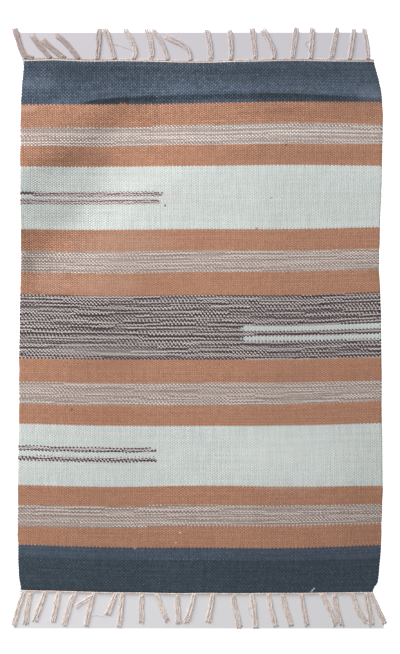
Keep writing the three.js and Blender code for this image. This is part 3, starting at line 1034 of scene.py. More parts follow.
@dataclass(frozen=True)
class StripedWeave:
    """The finish of the cloth: stripes of dyed wefts, each bead with its own strands."""

    roughness: float = 0.92
    bulge: float = 0.12
    slant: float = 0.2
    slack_slant: float = 0.35
    bead_height: float = 0.3
    slack_height: float = 0.6
    slack_glow: float = 1.12
    fold_shade: float = 0.72
    strand_height: float = 0.1
    fuzz_height: float = 0.12
    strands: float = 3.0
    drift_run: float = 34.0
    tip_trim: float = 0.16
    bare_end: float = 0.25
    painted_light_left: float = 0.972
    painted_light_middle: float = 1.068
    painted_light_sides: float = 0.92
    painted_light_near: float = 1.015
    painted_light_far: float = 0.975
    painted_shade_far_edge: float = 0.88
    pick_spread: float = 0.07
    streak_spread: float = 0.18
    rib_spread: float = 0.16
    warp_pitch: float = 3.0
    pick_pitch: float = 2.2

    @staticmethod
    def yarn_number(w: Wiring, pick: Source) -> NodeSocket:
        """The number of the yarn that a pick of the bands is made of.

        Args:
            w: the material's wiring.
            pick: the pick's number.
        Returns:
            The yarn's number.
        """
        order = [Yarn.CREAM, *[band.yarn for band in BANDS], Yarn.CREAM]
        starts = np.cumsum([0] + [band.picks for band in BANDS])
        yarn: Source = float(YARNS.index(order[0]))
        for start, before, after in zip(starts, order, order[1:]):
            begun = w.maths("GREATER_THAN", pick, float(start) - 0.5)
            step = YARNS.index(after) - YARNS.index(before)
            yarn = w.maths("MULTIPLY_ADD", begun, float(step), yarn)
        return yarn

    def build(self, groups: WeaveGroups) -> Material:
        """Makes the material."""
        material, w, shader = bare_material("striped_weave")
        weave = w.node("ShaderNodeUVMap", uv_map="weave").outputs["UV"]
        columns, picks, _ = w.parted(weave)
        slack, fold = w.placed(groups.slack, weave=weave).outputs
        slant = w.mapped(slack, 0.0, 1.0, self.slant, self.slack_slant)
        lattice = w.placed(groups.lattice, weave=weave, bulge=self.bulge, slant=slant).outputs
        past_tip = w.maths("GREATER_THAN", lattice["Along"], 1.0 - self.tip_trim)
        before_tip = w.maths("LESS_THAN", lattice["Along"], self.tip_trim)
        trimmed = w.maths("SUBTRACT", w.maths("ADD", lattice["Pick"], past_tip), before_tip)
        yarn = self.yarn_number(w, trimmed)
        for stripe in SHORT_STRIPES:
            yarn = w.placed(
                groups.stripe,
                yarn=yarn,
                column=columns,
                pick=trimmed if stripe.even else lattice["Pick"],
                new_yarn=float(YARNS.index(stripe.yarn)),
                from_column=stripe.from_column,
                to_column=stripe.to_column,
                first_pick=float(stripe.first_pick),
                last_pick=float(stripe.last_pick),
                left_taper=stripe.left_taper,
                right_taper=stripe.right_taper,
            ).outputs["Yarn"]
        bare = w.maths("GREATER_THAN", picks, PICKS - self.bare_end)
        yarn = w.blended(bare, yarn, float(YARNS.index(Yarn.CREAM)))
        looks = [kind.value for kind in YARNS]
        first = w.steps(yarn, [linear_colour(look.first) for look in looks])
        second = w.steps(yarn, [linear_colour(look.second) for look in looks])
        ways = [(look.second_share, look.softness, look.restless, 1.0) for look in looks]
        share, softness, restless = w.parted(w.steps(yarn, ways))
        ways = [(look.bead_spread, look.groove_shade, look.lay, 1.0) for look in looks]
        spread, groove_shade, lay = w.parted(w.steps(yarn, ways))
        spread = w.maths("MULTIPLY", spread, w.mapped(slack, 0.0, 1.0, 1.0, 1.8))
        marl = w.placed(
            groups.marl,
            weave=weave,
            pick=lattice["Pick"],
            across=lattice["Across"],
            along=lattice["Along"],
            chance=lattice["Chance"],
            first=first,
            second=second,
            second_share=share,
            softness=softness,
            restless=restless,
            lay=lay,
            run=self.drift_run,
        ).outputs
        tone = w.placed(
            groups.tone,
            weave=weave,
            pick=lattice["Pick"],
            chance=lattice["Chance"],
            bead_spread=spread,
            pick_spread=self.pick_spread,
            streak_spread=w.mapped(slack, 0.0, 1.0, self.streak_spread, 2.6 * self.streak_spread),
            rib_spread=self.rib_spread,
        ).outputs["Tone"]
        bead = w.placed(
            groups.bead,
            across=lattice["Across"],
            along=lattice["Along"],
            turn=marl["Turn"],
            strands=self.strands,
            bead_height=w.mapped(slack, 0.0, 1.0, self.bead_height, self.slack_height),
            strand_height=self.strand_height,
        ).outputs
        place = w.joined(
            w.maths("MULTIPLY", columns, self.warp_pitch), w.maths("MULTIPLY", picks, self.pick_pitch)
        )
        fuzz = w.placed(groups.fuzz, place=place, fineness=1.7, stretch=2.5).outputs
        tone = w.maths("MULTIPLY", tone, w.mapped(fuzz["Grain"], 0.2, 0.8, 0.86, 1.12))
        # Painted shade in the grooves between beads, deeper where the cloth is slack; the slack cloth is then
        # made lighter to make up for it
        groove_shade = w.maths("MULTIPLY", groove_shade, w.mapped(slack, 0.0, 1.0, 0.75, 1.5))
        shut = w.maths("SUBTRACT", 1.0, bead["Open"])
        tone = w.maths("MULTIPLY", tone, w.maths("SUBTRACT", 1.0, w.maths("MULTIPLY", shut, groove_shade)))
        tone = w.maths("MULTIPLY", tone, w.mapped(slack, 0.0, 1.0, 1.0, self.slack_glow))
        # Painted shade on the left wave's dark face
        tone = w.maths("MULTIPLY", tone, w.mapped(fold, 0.0, 1.0, 1.0, self.fold_shade))
        # Painted light and shade, where the lamps light the cloth unevenly: lighter near the middle of its
        # width and by its left edge, a little darker towards the far end, and darker still along the far edge
        aside = w.maths("ABSOLUTE", w.maths("SUBTRACT", columns, 100.0))
        middle_light = w.mapped(aside, 12.0, 46.0, self.painted_light_middle, 1.0, smooth=True)
        left = w.mapped(columns, 10.0, 50.0, self.painted_light_left, self.painted_light_sides, smooth=True)
        tone = w.maths("MULTIPLY", tone, w.maths("MULTIPLY", middle_light, left))
        tone = w.maths("MULTIPLY", tone, w.mapped(picks, 60.0, 320.0, self.painted_light_near, self.painted_light_far))
        tone = w.maths("MULTIPLY", tone, w.mapped(picks, 388.0, 397.0, 1.0, self.painted_shade_far_edge))
        for crease in CREASES:
            shade = w.placed(
                groups.crease,
                weave=weave,
                start_column=crease.start_column,
                end_column=crease.end_column,
                start_pick=crease.start_pick,
                bow=crease.bow,
                end_pick=crease.end_pick,
                reach=crease.reach,
                body=crease.body,
            ).outputs
            dark = w.mapped(shade["Mask"], 0.0, 1.0, 1.0, 1.0 - crease.depth)
            light = w.mapped(shade["Crest"], 0.0, 1.0, 1.0, 1.0 + crease.glow)
            tone = w.maths("MULTIPLY", tone, w.maths("MULTIPLY", dark, light))
        colour = w.scaled(marl["Colour"], tone)
        lint = w.placed(groups.flecks, place=place, spacing=9.0, size=0.8, share=0.1).outputs["Mask"]
        colour = w.mixed(w.maths("MULTIPLY", lint, 0.35), colour, linear_colour("#e8e4de"))
        for fleck in FLECKS:
            side = w.maths("DIVIDE", w.maths("SUBTRACT", columns, fleck.column), fleck.wide)
            run = w.maths("DIVIDE", w.maths("SUBTRACT", picks, fleck.pick), fleck.tall)
            away = w.maths("ADD", w.maths("MULTIPLY", side, side), w.maths("MULTIPLY", run, run))
            spot = w.mapped(away, 0.2, 1.0, fleck.strength, 0.0)
            colour = w.mixed(spot, colour, linear_colour(fleck.colour))
        w.feed(shader.inputs["Base Color"], colour)
        rough = w.mapped(fuzz["Grain"], 0.2, 0.8, self.roughness + 0.05, self.roughness - 0.05)
        w.feed(shader.inputs["Roughness"], rough)
        shader.inputs["Specular IOR Level"].default_value = 0.25
        shader.inputs["Sheen Weight"].default_value = 0.08
        shader.inputs["Sheen Roughness"].default_value = 0.5
        bump = w.node("ShaderNodeBump")
        bump.inputs["Distance"].default_value = MM
        height = w.maths("MULTIPLY_ADD", fuzz["Height"], self.fuzz_height, bead["Height"])
        w.feed(bump.inputs["Height"], height)
        w.feed(shader.inputs["Normal"], bump.outputs["Normal"])
        return material


@dataclass(frozen=True)
class CreamCotton:
    """The finish of the heading and the tassels: undyed plied warp yarn, with painted shade in its crevices.
    """

    light: str = "#ecdfd6"
    dark: str = "#c8b2a8"
    near_painted_light: float = 1.06
    far_painted_shade: float = 0.62
    cool: str = "#dacfd8"
    cool_share: float = 0.35
    corner_tone: float = 0.86
    brown: str = "#94715d"
    brown_share: float = 0.34
    far_right_tone: float = 1.045
    near_right_tone: float = 0.93
    near_tip_painted_light: float = 1.3
    depth: float = 0.3
    roughness: float = 0.9
    plies: float = 2.0
    ply_pitch: float = 5.2

    def build(self, groups: WeaveGroups) -> Material:
        """Makes the material."""
        material, w, shader = bare_material("cream_cotton")
        around, along, _ = w.parted(w.node("ShaderNodeUVMap", uv_map="yarn").outputs["UV"])
        number, tip, _ = w.parted(w.node("ShaderNodeUVMap", uv_map="strand").outputs["UV"])
        spiral = w.maths("SUBTRACT", w.maths("MULTIPLY", around, self.plies),
                         w.maths("DIVIDE", along, self.ply_pitch / self.plies))
        ply = w.maths("ABSOLUTE", w.maths("SINE", w.maths("MULTIPLY", spiral, math.pi)))
        crevice = w.mapped(ply, 0.0, 0.55, 1.0, 0.0, smooth=True)
        place = w.joined(w.maths("MULTIPLY", around, 6.0), along, w.maths("MULTIPLY", number, 37.0))
        fuzz = w.placed(groups.fuzz, place=place, fineness=1.4, stretch=0.6).outputs
        patch = w.noise(w.joined(w.maths("MULTIPLY", along, 0.12), w.maths("MULTIPLY", number, 91.0)))
        # Painted shade in the crevices between the plies and by the knot at the root; the patches are the
        # yarn's own uneven tone
        shade = w.maths("MULTIPLY_ADD", crevice, 0.12, w.mapped(patch, 0.35, 0.7, 0.0, 0.6))
        shade = w.maths("ADD", shade, w.mapped(tip, 0.0, 0.16, 0.12, 0.0))
        colour = w.mixed(shade, linear_colour(self.light), linear_colour(self.dark))
        side, level, _ = w.parted(w.node("ShaderNodeTexCoord").outputs["Object"])
        far_end = w.mapped(level, 0.0, 0.4)
        near_end = w.mapped(level, 0.0, -0.4)
        colour = w.mixed(w.maths("MULTIPLY", far_end, self.cool_share), colour, linear_colour(self.cool))
        corner = w.maths("MULTIPLY", far_end, w.mapped(side, -0.12, -0.2))
        colour = w.mixed(w.maths("MULTIPLY", corner, self.brown_share), colour, linear_colour(self.brown))
        tone = w.mapped(fuzz["Grain"], 0.2, 0.8, 0.86, 1.12)
        tone = w.maths("MULTIPLY", tone, w.mapped(w.chance(w.joined(number, 0.3)), 0.0, 1.0, 0.95, 1.04))
        # Painted light and shade: the near yarn lighter and the far yarn darker, where the lamps light the
        # two ends unevenly
        tone = w.maths("MULTIPLY", tone, w.mapped(level, -0.4, 0.4, self.near_painted_light, self.far_painted_shade))
        tone = w.maths("MULTIPLY", tone, w.mapped(corner, 0.0, 1.0, 1.0, self.corner_tone))
        right = w.mapped(side, 0.0, 0.25)
        tip_end = w.mapped(tip, 0.88, 1.0)
        # On the right the far yarn is a little lighter and the near yarn a little darker; the near tips get
        # painted light where they turn away from the lamps
        places = (
            (far_end, right, self.far_right_tone),
            (near_end, right, self.near_right_tone),
            (near_end, tip_end, self.near_tip_painted_light),
        )
        for end, part, there in places:
            share = w.maths("MULTIPLY", end, part)
            tone = w.maths("MULTIPLY", tone, w.mapped(share, 0.0, 1.0, 1.0, there))
        w.feed(shader.inputs["Base Color"], w.scaled(colour, tone))
        rough = w.mapped(fuzz["Grain"], 0.2, 0.8, self.roughness + 0.05, self.roughness - 0.08)
        w.feed(shader.inputs["Roughness"], rough)
        shader.inputs["Specular IOR Level"].default_value = 0.25
        shader.inputs["Sheen Weight"].default_value = 0.15
        shader.inputs["Subsurface Weight"].default_value = self.depth
        shader.inputs["Subsurface Radius"].default_value = (1.0, 0.85, 0.75)
        shader.inputs["Subsurface Scale"].default_value = 1.5 * MM
        bump = w.node("ShaderNodeBump")
        bump.inputs["Distance"].default_value = MM
        height = w.maths("MULTIPLY_ADD", ply, 0.15, w.maths("MULTIPLY", fuzz["Height"], 0.25))
        w.feed(bump.inputs["Height"], height)
        w.feed(shader.inputs["Normal"], bump.outputs["Normal"])
        return material


class PaperStrip(NamedTuple):
    """A strip of tinted paper on the floor, widening away from the rug, and its two sides' colours."""

    inner: float
    outer: float
    inner_left: float
    outer_left: float
    inner_right: float
    outer_right: float
    left: str
    right: str


@dataclass(frozen=True)
class PaleFloor:
    """The finish of the floor: white paper that glows a little, as painted light that washes out the shadows
    on it, with a lilac-grey strip under each fringe.
    """

    colour: str = "#f6f5f7"
    glow: float = 0.8
    strip_glow: str = "#b4b2b5"
    soft: float = 0.002
    strips: tuple[PaperStrip, ...] = (
        PaperStrip(0.43, 0.4915, -0.292, -0.31, 0.28, 0.277, "#7b767b", "#717177"),
        PaperStrip(-0.43, -0.5035, -0.298, -0.311, 0.285, 0.309, "#a8a8a9", "#909192"),
    )

    def build(self) -> Material:
        """Makes the material."""
        material, w, shader = bare_material("pale_floor")
        place = w.node("ShaderNodeTexCoord").outputs["Object"]
        grain = w.noise(place, 40.0, 2.0)
        across, along, _ = w.parted(place)
        colour: Source = linear_colour(self.colour)
        glow: Source = (1.0, 1.0, 1.0, 1.0)
        for strip in self.strips:
            out = w.mapped(along, strip.inner, strip.outer)
            left = w.blended(out, strip.inner_left, strip.outer_left)
            right = w.blended(out, strip.inner_right, strip.outer_right)
            beyond = abs(strip.outer - strip.inner)
            away = w.maths("MULTIPLY", w.maths("SUBTRACT", along, strip.inner), math.copysign(1, strip.outer))
            mask = w.mapped(away, -self.soft, self.soft, smooth=True)
            edges = (
                w.maths("SUBTRACT", beyond, away),
                w.maths("SUBTRACT", across, left),
                w.maths("SUBTRACT", right, across),
            )
            for edge in edges:
                mask = w.maths("MULTIPLY", mask, w.mapped(edge, -self.soft, self.soft, smooth=True))
            share = w.mapped(across, strip.inner_left, strip.inner_right)
            tint = w.mixed(share, linear_colour(strip.left), linear_colour(strip.right))
            colour = w.mixed(mask, colour, tint)
            glow = w.mixed(mask, glow, linear_colour(self.strip_glow))
        tone = w.mapped(grain, 0.0, 1.0, 0.98, 1.01)
        w.feed(shader.inputs["Base Color"], w.scaled(colour, tone))
        # Painted light: the floor glows, less under the strips, so that the rug's and the tassels' shadows on
        # it fade
        w.feed(shader.inputs["Emission Color"], glow)
        shader.inputs["Emission Strength"].default_value = self.glow
        shader.inputs["Roughness"].default_value = 1.0
        shader.inputs["Specular IOR Level"].default_value = 0.0
        return material


def mesh_object(name: str, points: Array, faces: list, corner_maps: dict[str, Array],
                material: Material) -> Object:
    """A smooth-shaded mesh object with its own flat maps.

    Args:
        name: the object's name.
        points: places in metres.
        faces: each face's corners.
        corner_maps: for each map's name, its two numbers at each face corner in order.
        material: its finish.
    Returns:
        The object, linked into the scene.
    """
    mesh = bpy.data.meshes.new(name)
    mesh.from_pydata(points.tolist(), [], faces)
    for label, pairs in corner_maps.items():
        layer = mesh.uv_layers.new(name=label)
        layer.data.foreach_set("uv", pairs.astype(np.float32).ravel())
    mesh.polygons.foreach_set("use_smooth", [True] * len(mesh.polygons))
    mesh.materials.append(material)
    mesh.validate()
    mesh.update()
    made = bpy.data.objects.new(name, mesh)
    bpy.context.scene.collection.objects.link(made)
    return made


@dataclass
class WovenField:
    """The cloth: a point for each bead on its face, rounded selvedges, and a plain underside.

    The wanders are the small unevenness of hand weaving. Each of the rim's rings has how far out it
    lies and how high, as a share of the thickness. The flat map has the face on its left half and the
    underside on its right half.
    """

    BAKE_MARGIN = 0.014
    BAKE_SIZE = (0.472, 0.972)
    BAKE_RIM = 0.0035

    shape: ClothShape
    flat_wide: float = 0.6
    flat_long: float = 0.885
    relief_share: float = 0.25
    relief_sink: float = 0.15
    edge_drop: float = 0.9
    overrun: float = 0.4
    edge_column: float = 0.3
    pick_wander: float = 0.1
    height_wander: float = 0.06
    side_wander: float = 0.09
    along_wander: float = 0.07
    selvedge_wander: float = 0.22
    selvedge_run: int = 9
    turn_out: float = 0.35
    turn_in: float = 0.25
    left_inset: float = 0.4
    right_inset: float = -0.3
    near_inset: float = 1.0
    far_inset: float = -0.1
    rim_rings: tuple[tuple[float, float], ...] = ((0.7, 0.5), (0.45, 0.16), (-0.5, 0.0))
    under_columns: int = 50
    under_rows: int = 100

    def stations(self) -> tuple[Array, Array]:
        """The columns and picks at which the face has points."""
        columns = np.concatenate([[0.0], np.arange(WARPS) + 0.5, [WARPS]])
        picks = np.concatenate([[-self.overrun], np.arange(PICKS) + 0.5, [PICKS + self.overrun]])
        return columns, picks

    def face_points(self, random: np.random.Generator) -> tuple[Array, Array]:
        """Places of the face's points, and their columns and picks.

        Args:
            random: the source of the weave's small unevenness.
        Returns:
            An array of places by row and column, and one of their column and pick numbers.
        """
        columns, picks = self.stations()
        levels = self.shape.level_of(picks)
        levels[0] = self.shape.level_marks[0]
        levels[-1] = self.shape.level_marks[-1]
        levels[1:-1] += random.normal(0, self.pick_wander, PICKS)
        x, y = self.shape.plan(columns / WARPS, levels)
        rows, cols = x.shape
        i, j = np.meshgrid(np.arange(cols) - 1, np.arange(rows) - 1)
        spacing = np.gradient(levels)[:, None]
        relief = np.where((i + j) % 2 == 1, -spacing * self.relief_share, 0)
        relief = relief + random.normal(0, self.height_wander, x.shape)
        z = self.shape.rise(x, y) + self.shape.thick + relief - self.relief_sink
        x[:, 1:-1] += random.normal(0, self.side_wander, x[:, 1:-1].shape)
        y[1:-1, :] += random.normal(0, self.along_wander, y[1:-1, :].shape)
        left_turns, right_turns = self.scallops(random, rows)
        x[:, 0] += self.left_inset - left_turns
        x[:, -1] += -self.right_inset + right_turns
        y[0, :] += self.near_inset
        y[-1, :] -= self.far_inset
        for edge in (np.s_[:, 0], np.s_[:, -1], np.s_[0, :], np.s_[-1, :]):
            z[edge] = self.shape.rise(x[edge], y[edge]) + self.shape.thick - self.edge_drop
        inside = np.clip(columns, self.edge_column, WARPS - self.edge_column)
        numbers = np.stack(np.meshgrid(inside, picks), axis=-1)
        return np.stack([x, y, z], axis=-1), numbers

    def scallops(self, random: np.random.Generator, rows: int) -> tuple[Array, Array]:
        """How far each pick's turn stands out at the two selvedges.

        Args:
            random: the source of the selvedges' wander.
            rows: how many rows of points the face has.
        Returns:
            The steps outwards at the left and at the right.
        """
        run = self.selvedge_run
        turns = np.where(np.arange(rows) % 2 == 0, self.turn_out, -self.turn_in)
        wanders = []
        for _ in ("left", "right"):
            steps = random.normal(0, 1.0, rows + run - 1)
            smooth = np.convolve(steps, np.ones(run) / math.sqrt(run), "valid")
            wanders.append(smooth * self.selvedge_wander)
        return turns + wanders[0], -turns + wanders[1]

    @staticmethod
    def rim(rows: int, cols: int) -> list[tuple[int, int]]:
        """Lists the face's rim, anticlockwise from above.

        Args:
            rows: how many rows of points the face has.
            cols: how many columns of points it has.
        Returns:
            The row and column of each point.
        """
        near = [(0, i) for i in range(cols)]
        right = [(j, cols - 1) for j in range(1, rows)]
        far = [(rows - 1, i) for i in range(cols - 2, -1, -1)]
        left = [(j, 0) for j in range(rows - 2, 0, -1)]
        return near + right + far + left

    @staticmethod
    def triangles(index: Array) -> list[list[int]]:
        """Cuts the face's lattice into triangles, whose cuts join the raised beads' points.

        Args:
            index: the number of each point, by row and column.
        Returns:
            The triangles.
        """
        rows, cols = index.shape
        i, j = np.meshgrid(np.arange(cols - 1), np.arange(rows - 1))
        a, b = index[:-1, :-1].ravel(), index[:-1, 1:].ravel()
        c, d = index[1:, 1:].ravel(), index[1:, :-1].ravel()
        even = ((i + j) % 2 == 0).ravel()[:, None]
        first = np.where(even, np.stack([a, b, d], 1), np.stack([a, b, c], 1))
        second = np.where(even, np.stack([b, c, d], 1), np.stack([a, c, d], 1))
        return np.stack([first, second], 1).reshape(-1, 3).tolist()

    def build(self, finish: Material) -> Object:
        """Makes the cloth's mesh and hangs it on the frame.

        Args:
            finish: the cloth's finish.
        Returns:
            The cloth.
        """
        face, numbers = self.face_points(np.random.default_rng(SEED))
        rows, cols, _ = face.shape
        index = np.arange(rows * cols).reshape(rows, cols)
        faces = self.triangles(index)
        points, maps = [face.reshape(-1, 3)], [numbers.reshape(-1, 2)]
        bake = [self.face_bake(maps[0], False)]

        # The rim curves down to the floor's side in a few rings
        rim = self.rim(rows, cols)
        rim_rows, rim_cols = np.array(rim).T
        base, base_numbers = face[rim_rows, rim_cols], numbers[rim_rows, rim_cols]
        out = np.stack([
            (rim_cols == cols - 1).astype(float) - (rim_cols == 0),
            (rim_rows == rows - 1).astype(float) - (rim_rows == 0),
        ], axis=1)
        floor = self.shape.rise(base[:, 0], base[:, 1])
        loops = [index[rim_rows, rim_cols]]
        count = rows * cols
        for step, (push, share) in enumerate(self.rim_rings, start=1):
            ring = base.copy()
            ring[:, :2] += out * push
            ring[:, 2] = floor + self.shape.thick * share
            points.append(ring)
            maps.append(base_numbers)
            bake.append(self.face_bake(base_numbers, False) + out * step * self.BAKE_RIM)
            loops.append(np.arange(count, count + len(rim)))
            count += len(rim)
        for upper, lower in zip(loops, loops[1:]):
            faces += np.stack([upper, lower, np.roll(lower, -1), np.roll(upper, -1)], 1).tolist()

        under_points, under_maps, under_faces = self.underside(face, numbers, rim, loops[-1], count)
        all_maps = np.concatenate([*maps, under_maps])
        over = np.concatenate([np.array(corners) for corners in faces])
        under = np.concatenate([np.array(corners) for corners in under_faces])
        over_bake, under_bake = np.concatenate(bake)[over], self.face_bake(all_maps, True)[under]
        corner_maps = {
            "weave": all_maps[np.concatenate([over, under])],
            "OFBake": np.concatenate([over_bake, under_bake]),
        }
        places = self.shape.placed(np.concatenate([*points, under_points]))
        made = mesh_object("woven_cloth", places, faces + under_faces, corner_maps, finish)
        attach(made, "root")
        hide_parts("woven_field")
        return made

    @classmethod
    def face_bake(cls, numbers: Array, under: bool) -> Array:
        """Lays column and pick numbers out on the flat bake map.

        Args:
            numbers: the column and pick of each place.
            under: whether they lie on the underside, which is mirrored and takes the right half.
        Returns:
            Places on the flat map.
        """
        shares = numbers / np.array([WARPS, PICKS])
        start = cls.BAKE_MARGIN
        if under:
            shares = np.stack([1 - shares[:, 0], shares[:, 1]], axis=1)
            start += 0.5
        return np.array([start, cls.BAKE_MARGIN]) + shares * np.array(cls.BAKE_SIZE)

    @staticmethod
    def known_between(known: dict, low: tuple[int, int], high: tuple[int, int]) -> list[int]:
        """Lists the points from one corner up to the next, with those of the rim where they lie on it.

        Args:
            known: the number of each known point, by row and column.
            low: the first corner's row and column.
            high: the next corner's.
        Returns:
            The points' numbers, without the last corner's.
        """
        steps = max(abs(high[0] - low[0]), abs(high[1] - low[1]))
        line = []
        for s in range(steps):
            line.append(tuple(a + (b - a) * s // steps for a, b in zip(low, high)))
        return [known[place] for place in line if place in known]

    def underside(self, face: Array, numbers: Array, rim: list, ring: Array,
                  start: int) -> tuple[Array, Array, list]:
        """Makes a coarser underside that joins the rim's last ring.

        Args:
            face: the face's places.
            numbers: the face's column and pick numbers.
            rim: the row and column of each rim point.
            ring: the numbers of the last ring's points, in the rim's order.
            start: the number of the first new point.
        Returns:
            New places, their column and pick numbers, and the faces.
        """
        rows, cols, _ = face.shape
        col_stops, row_stops = (
            np.unique(np.round(np.linspace(0, last, parts + 1)).astype(int)).tolist()
            for last, parts in ((cols - 1, self.under_columns), (rows - 1, self.under_rows))
        )
        known = dict(zip(rim, ring.tolist()))
        places = [(r, k) for r in row_stops[1:-1] for k in col_stops[1:-1]]
        known.update({place: start + n for n, place in enumerate(places)})
        place_rows, place_cols = np.array(places).T
        points = face[place_rows, place_cols].copy()
        points[:, 2] = self.shape.rise(points[:, 0], points[:, 1])
        faces = []
        for r0, r1 in zip(row_stops, row_stops[1:]):
            for k0, k1 in zip(col_stops, col_stops[1:]):
                corners = [(r0, k0), (r1, k0), (r1, k1), (r0, k1)]
                loop: list[int] = []
                for low, high in zip(corners, corners[1:] + corners[:1]):
                    loop += self.known_between(known, low, high)
                faces.append(loop)
        return points, numbers[place_rows, place_cols], faces


class TubeRow(NamedTuple):
    """One yarn to be swept: its course, thickness, section and place on the flat maps."""

    course: Array
    radii: Array
    sides: int
    lobed: float
    turns_per_mm: float
    number: float
    strip: float
    tip: Array


class Skein:
    """Gathers yarns of one fringe into one mesh."""

    LOWEST = 0.02
    STRIP_MARGIN = 0.08
    STRIP_WIDE = 0.84
    END_MARGIN = 0.01
    STRIP_LONG = 0.98

    def __init__(self) -> None:
        """Starts empty."""
        self.tubes: list[TubeRow] = []

    def add(self, tube: TubeRow) -> None:
        """Adds one yarn."""
        self.tubes.append(tube)

    @staticmethod
    def frames(course: Array) -> tuple[Array, Array]:
        """Two directions across a course at each of its places, without twist.

        Args:
            course: places along the yarn.
        Returns:
            The first and the second direction.
        """
        runs = np.gradient(course, axis=0)
        runs /= np.linalg.norm(runs, axis=1)[:, None]
        side = np.cross(runs[0], [0.0, 0.0, 1.0])
        if np.linalg.norm(side) < 1e-3:
            side = np.array([1.0, 0.0, 0.0])
        sides = []
        for run in runs:
            side = side - run * np.dot(side, run)
            side = side / np.linalg.norm(side)
            sides.append(side)
        first = np.array(sides)
        return first, np.cross(first, runs)

    def sweep(self, tube: TubeRow) -> tuple[Array, Array]:
        """A closed tube along the yarn's course.

        Args:
            tube: the yarn.
        Returns:
            The tube's points, ring by ring, and each ring's distance along the yarn.
        """
        first, second = self.frames(tube.course)
        lengths = np.linalg.norm(np.diff(tube.course, axis=0), axis=1)
        along = np.concatenate([[0.0], np.cumsum(lengths)])
        angles = np.arange(tube.sides) / tube.sides * 2 * math.pi
        twist = along * tube.turns_per_mm * 2 * math.pi
        lobes = 1 - tube.lobed * np.abs(np.sin(angles[None, :] - twist[:, None]))
        reach = tube.radii[:, None] * lobes
        across = np.cos(angles)[None, :, None] * first[:, None, :]
        upward = np.sin(angles)[None, :, None] * second[:, None, :]
        points = tube.course[:, None, :] + reach[..., None] * (across + upward)
        points[..., 2] = np.maximum(points[..., 2], self.LOWEST)
        return points.reshape(-1, 3), along

    @staticmethod
    def tube_faces(rings: int, sides: int) -> tuple[list, list[tuple[Array, Array]]]:
        """Lists a tube's faces: its wall of quads, and a cap at either end.

        Args:
            rings: how many rings the tube has.
            sides: how many points a ring has.
        Returns:
            The faces, and for the wall and each cap its corners' rings and shares of a turn.
        """
        r, s = np.meshgrid(np.arange(rings - 1), np.arange(sides), indexing="ij")
        r, s = r.ravel(), s.ravel()
        t = (s + 1) % sides
        quads = [r * sides + s, (r + 1) * sides + s, (r + 1) * sides + t, r * sides + t]
        faces = np.stack(quads, 1).tolist()
        ring = np.stack([r, r + 1, r + 1, r], 1).ravel()
        corners = [(ring, np.stack([s, s, s + 1, s + 1], 1).ravel() / sides)]
        for cap, order in ((0, 1), (rings - 1, -1)):
            loop = np.arange(sides)[::order]
            faces.append((cap * sides + loop).tolist())
            corners.append((np.full(sides, cap), loop / sides))
        return faces, corners

    def build(self, name: str, shape: ClothShape, finish: Material) -> Object:
        """Sweeps every yarn and makes the mesh.

        Args:
            name: the object's name.
            shape: the cloth's shape, which says where the rug lies.
            finish: the yarns' finish.
        Returns:
            The object.
        """
        points, faces = [], []
        maps: dict[str, list[Array]] = {"yarn": [], "strand": [], "OFBake": []}
        start = 0
        strips = max(tube.strip for tube in self.tubes) + 1
        for tube in self.tubes:
            places, along = self.sweep(tube)
            tube_faces, corners = self.tube_faces(len(tube.course), tube.sides)
            points.append(places)
            faces += [[start + corner for corner in face] for face in tube_faces]
            for ring, turn in corners:
                across = (tube.strip + self.STRIP_MARGIN + self.STRIP_WIDE * turn) / strips
                share = self.END_MARGIN + self.STRIP_LONG * (along / along[-1])[ring]
                maps["yarn"].append(np.stack([turn, along[ring]], 1))
                maps["strand"].append(np.stack([np.full(len(ring), tube.number), tube.tip[ring]], 1))
                maps["OFBake"].append(np.stack([across, share], 1))
            start += len(places)
        corner_maps = {label: np.concatenate(pairs) for label, pairs in maps.items()}
        return mesh_object(name, shape.placed(np.concatenate(points)), faces, corner_maps, finish)


@dataclass
class TasselLine:
    """The line along which one tassel lies, read by distance from its root."""

    row: TasselRow
    root_y: float
    outwards: int
    samples: int = 40
    points: Array = field(init=False)
    along: Array = field(init=False)
    length: float = field(init=False)

    def __post_init__(self) -> None:
        """Samples the curve through the root, the middle and the tip."""
        row = self.row
        stops = np.array([
            (row.root, self.root_y),
            (row.root + row.mid_side, self.root_y + self.outwards * row.mid_out),
            (row.root + row.tip_side, self.root_y + self.outwards * row.tip_out),
        ])
        padded = np.concatenate([stops[:1], stops, stops[-1:]])
        t = np.linspace(0, 1, self.samples)[:, None]
        to_middle, to_tip = (
            cubic(t, low, high, (high - before) / 2, (after - low) / 2)
            for before, low, high, after in zip(padded, padded[1:], padded[2:], padded[3:])
        )
        self.points = np.concatenate([to_middle, to_tip[1:]])
        steps = np.linalg.norm(np.diff(self.points, axis=0), axis=1)
        self.along = np.concatenate([[0.0], np.cumsum(steps)])
        self.length = float(self.along[-1])

    def at(self, distance: Array) -> tuple[Array, Array]:
        """Reads the line.

        Args:
            distance: distances from the root.
        Returns:
            The place, and the direction sideways, at each distance.
        """
        place = np.stack([np.interp(distance, self.along, self.points[:, k]) for k in (0, 1)], 1)
        runs = np.gradient(self.points, self.along, axis=0)
        run = np.stack([np.interp(distance, self.along, runs[:, k]) for k in (0, 1)], 1)
        run /= np.linalg.norm(run, axis=1)[:, None]
        return place, np.stack([-run[:, 1], run[:, 0]], 1)


@dataclass(frozen=True)
class HeadingLook:
    """How the twined heading lies, in millimetres, and how finely it is made."""

    radius: float = 1.55
    sunk: float = 0.2
    past_selvedge: float = 0.6
    wave: float = 0.1
    waves_per_mm: float = 1.3
    lobed: float = 0.05
    lay: float = 6.0
    parts: int = 10
    rings: int = 84
    sides: int = 10
    part_number: float = 0.13


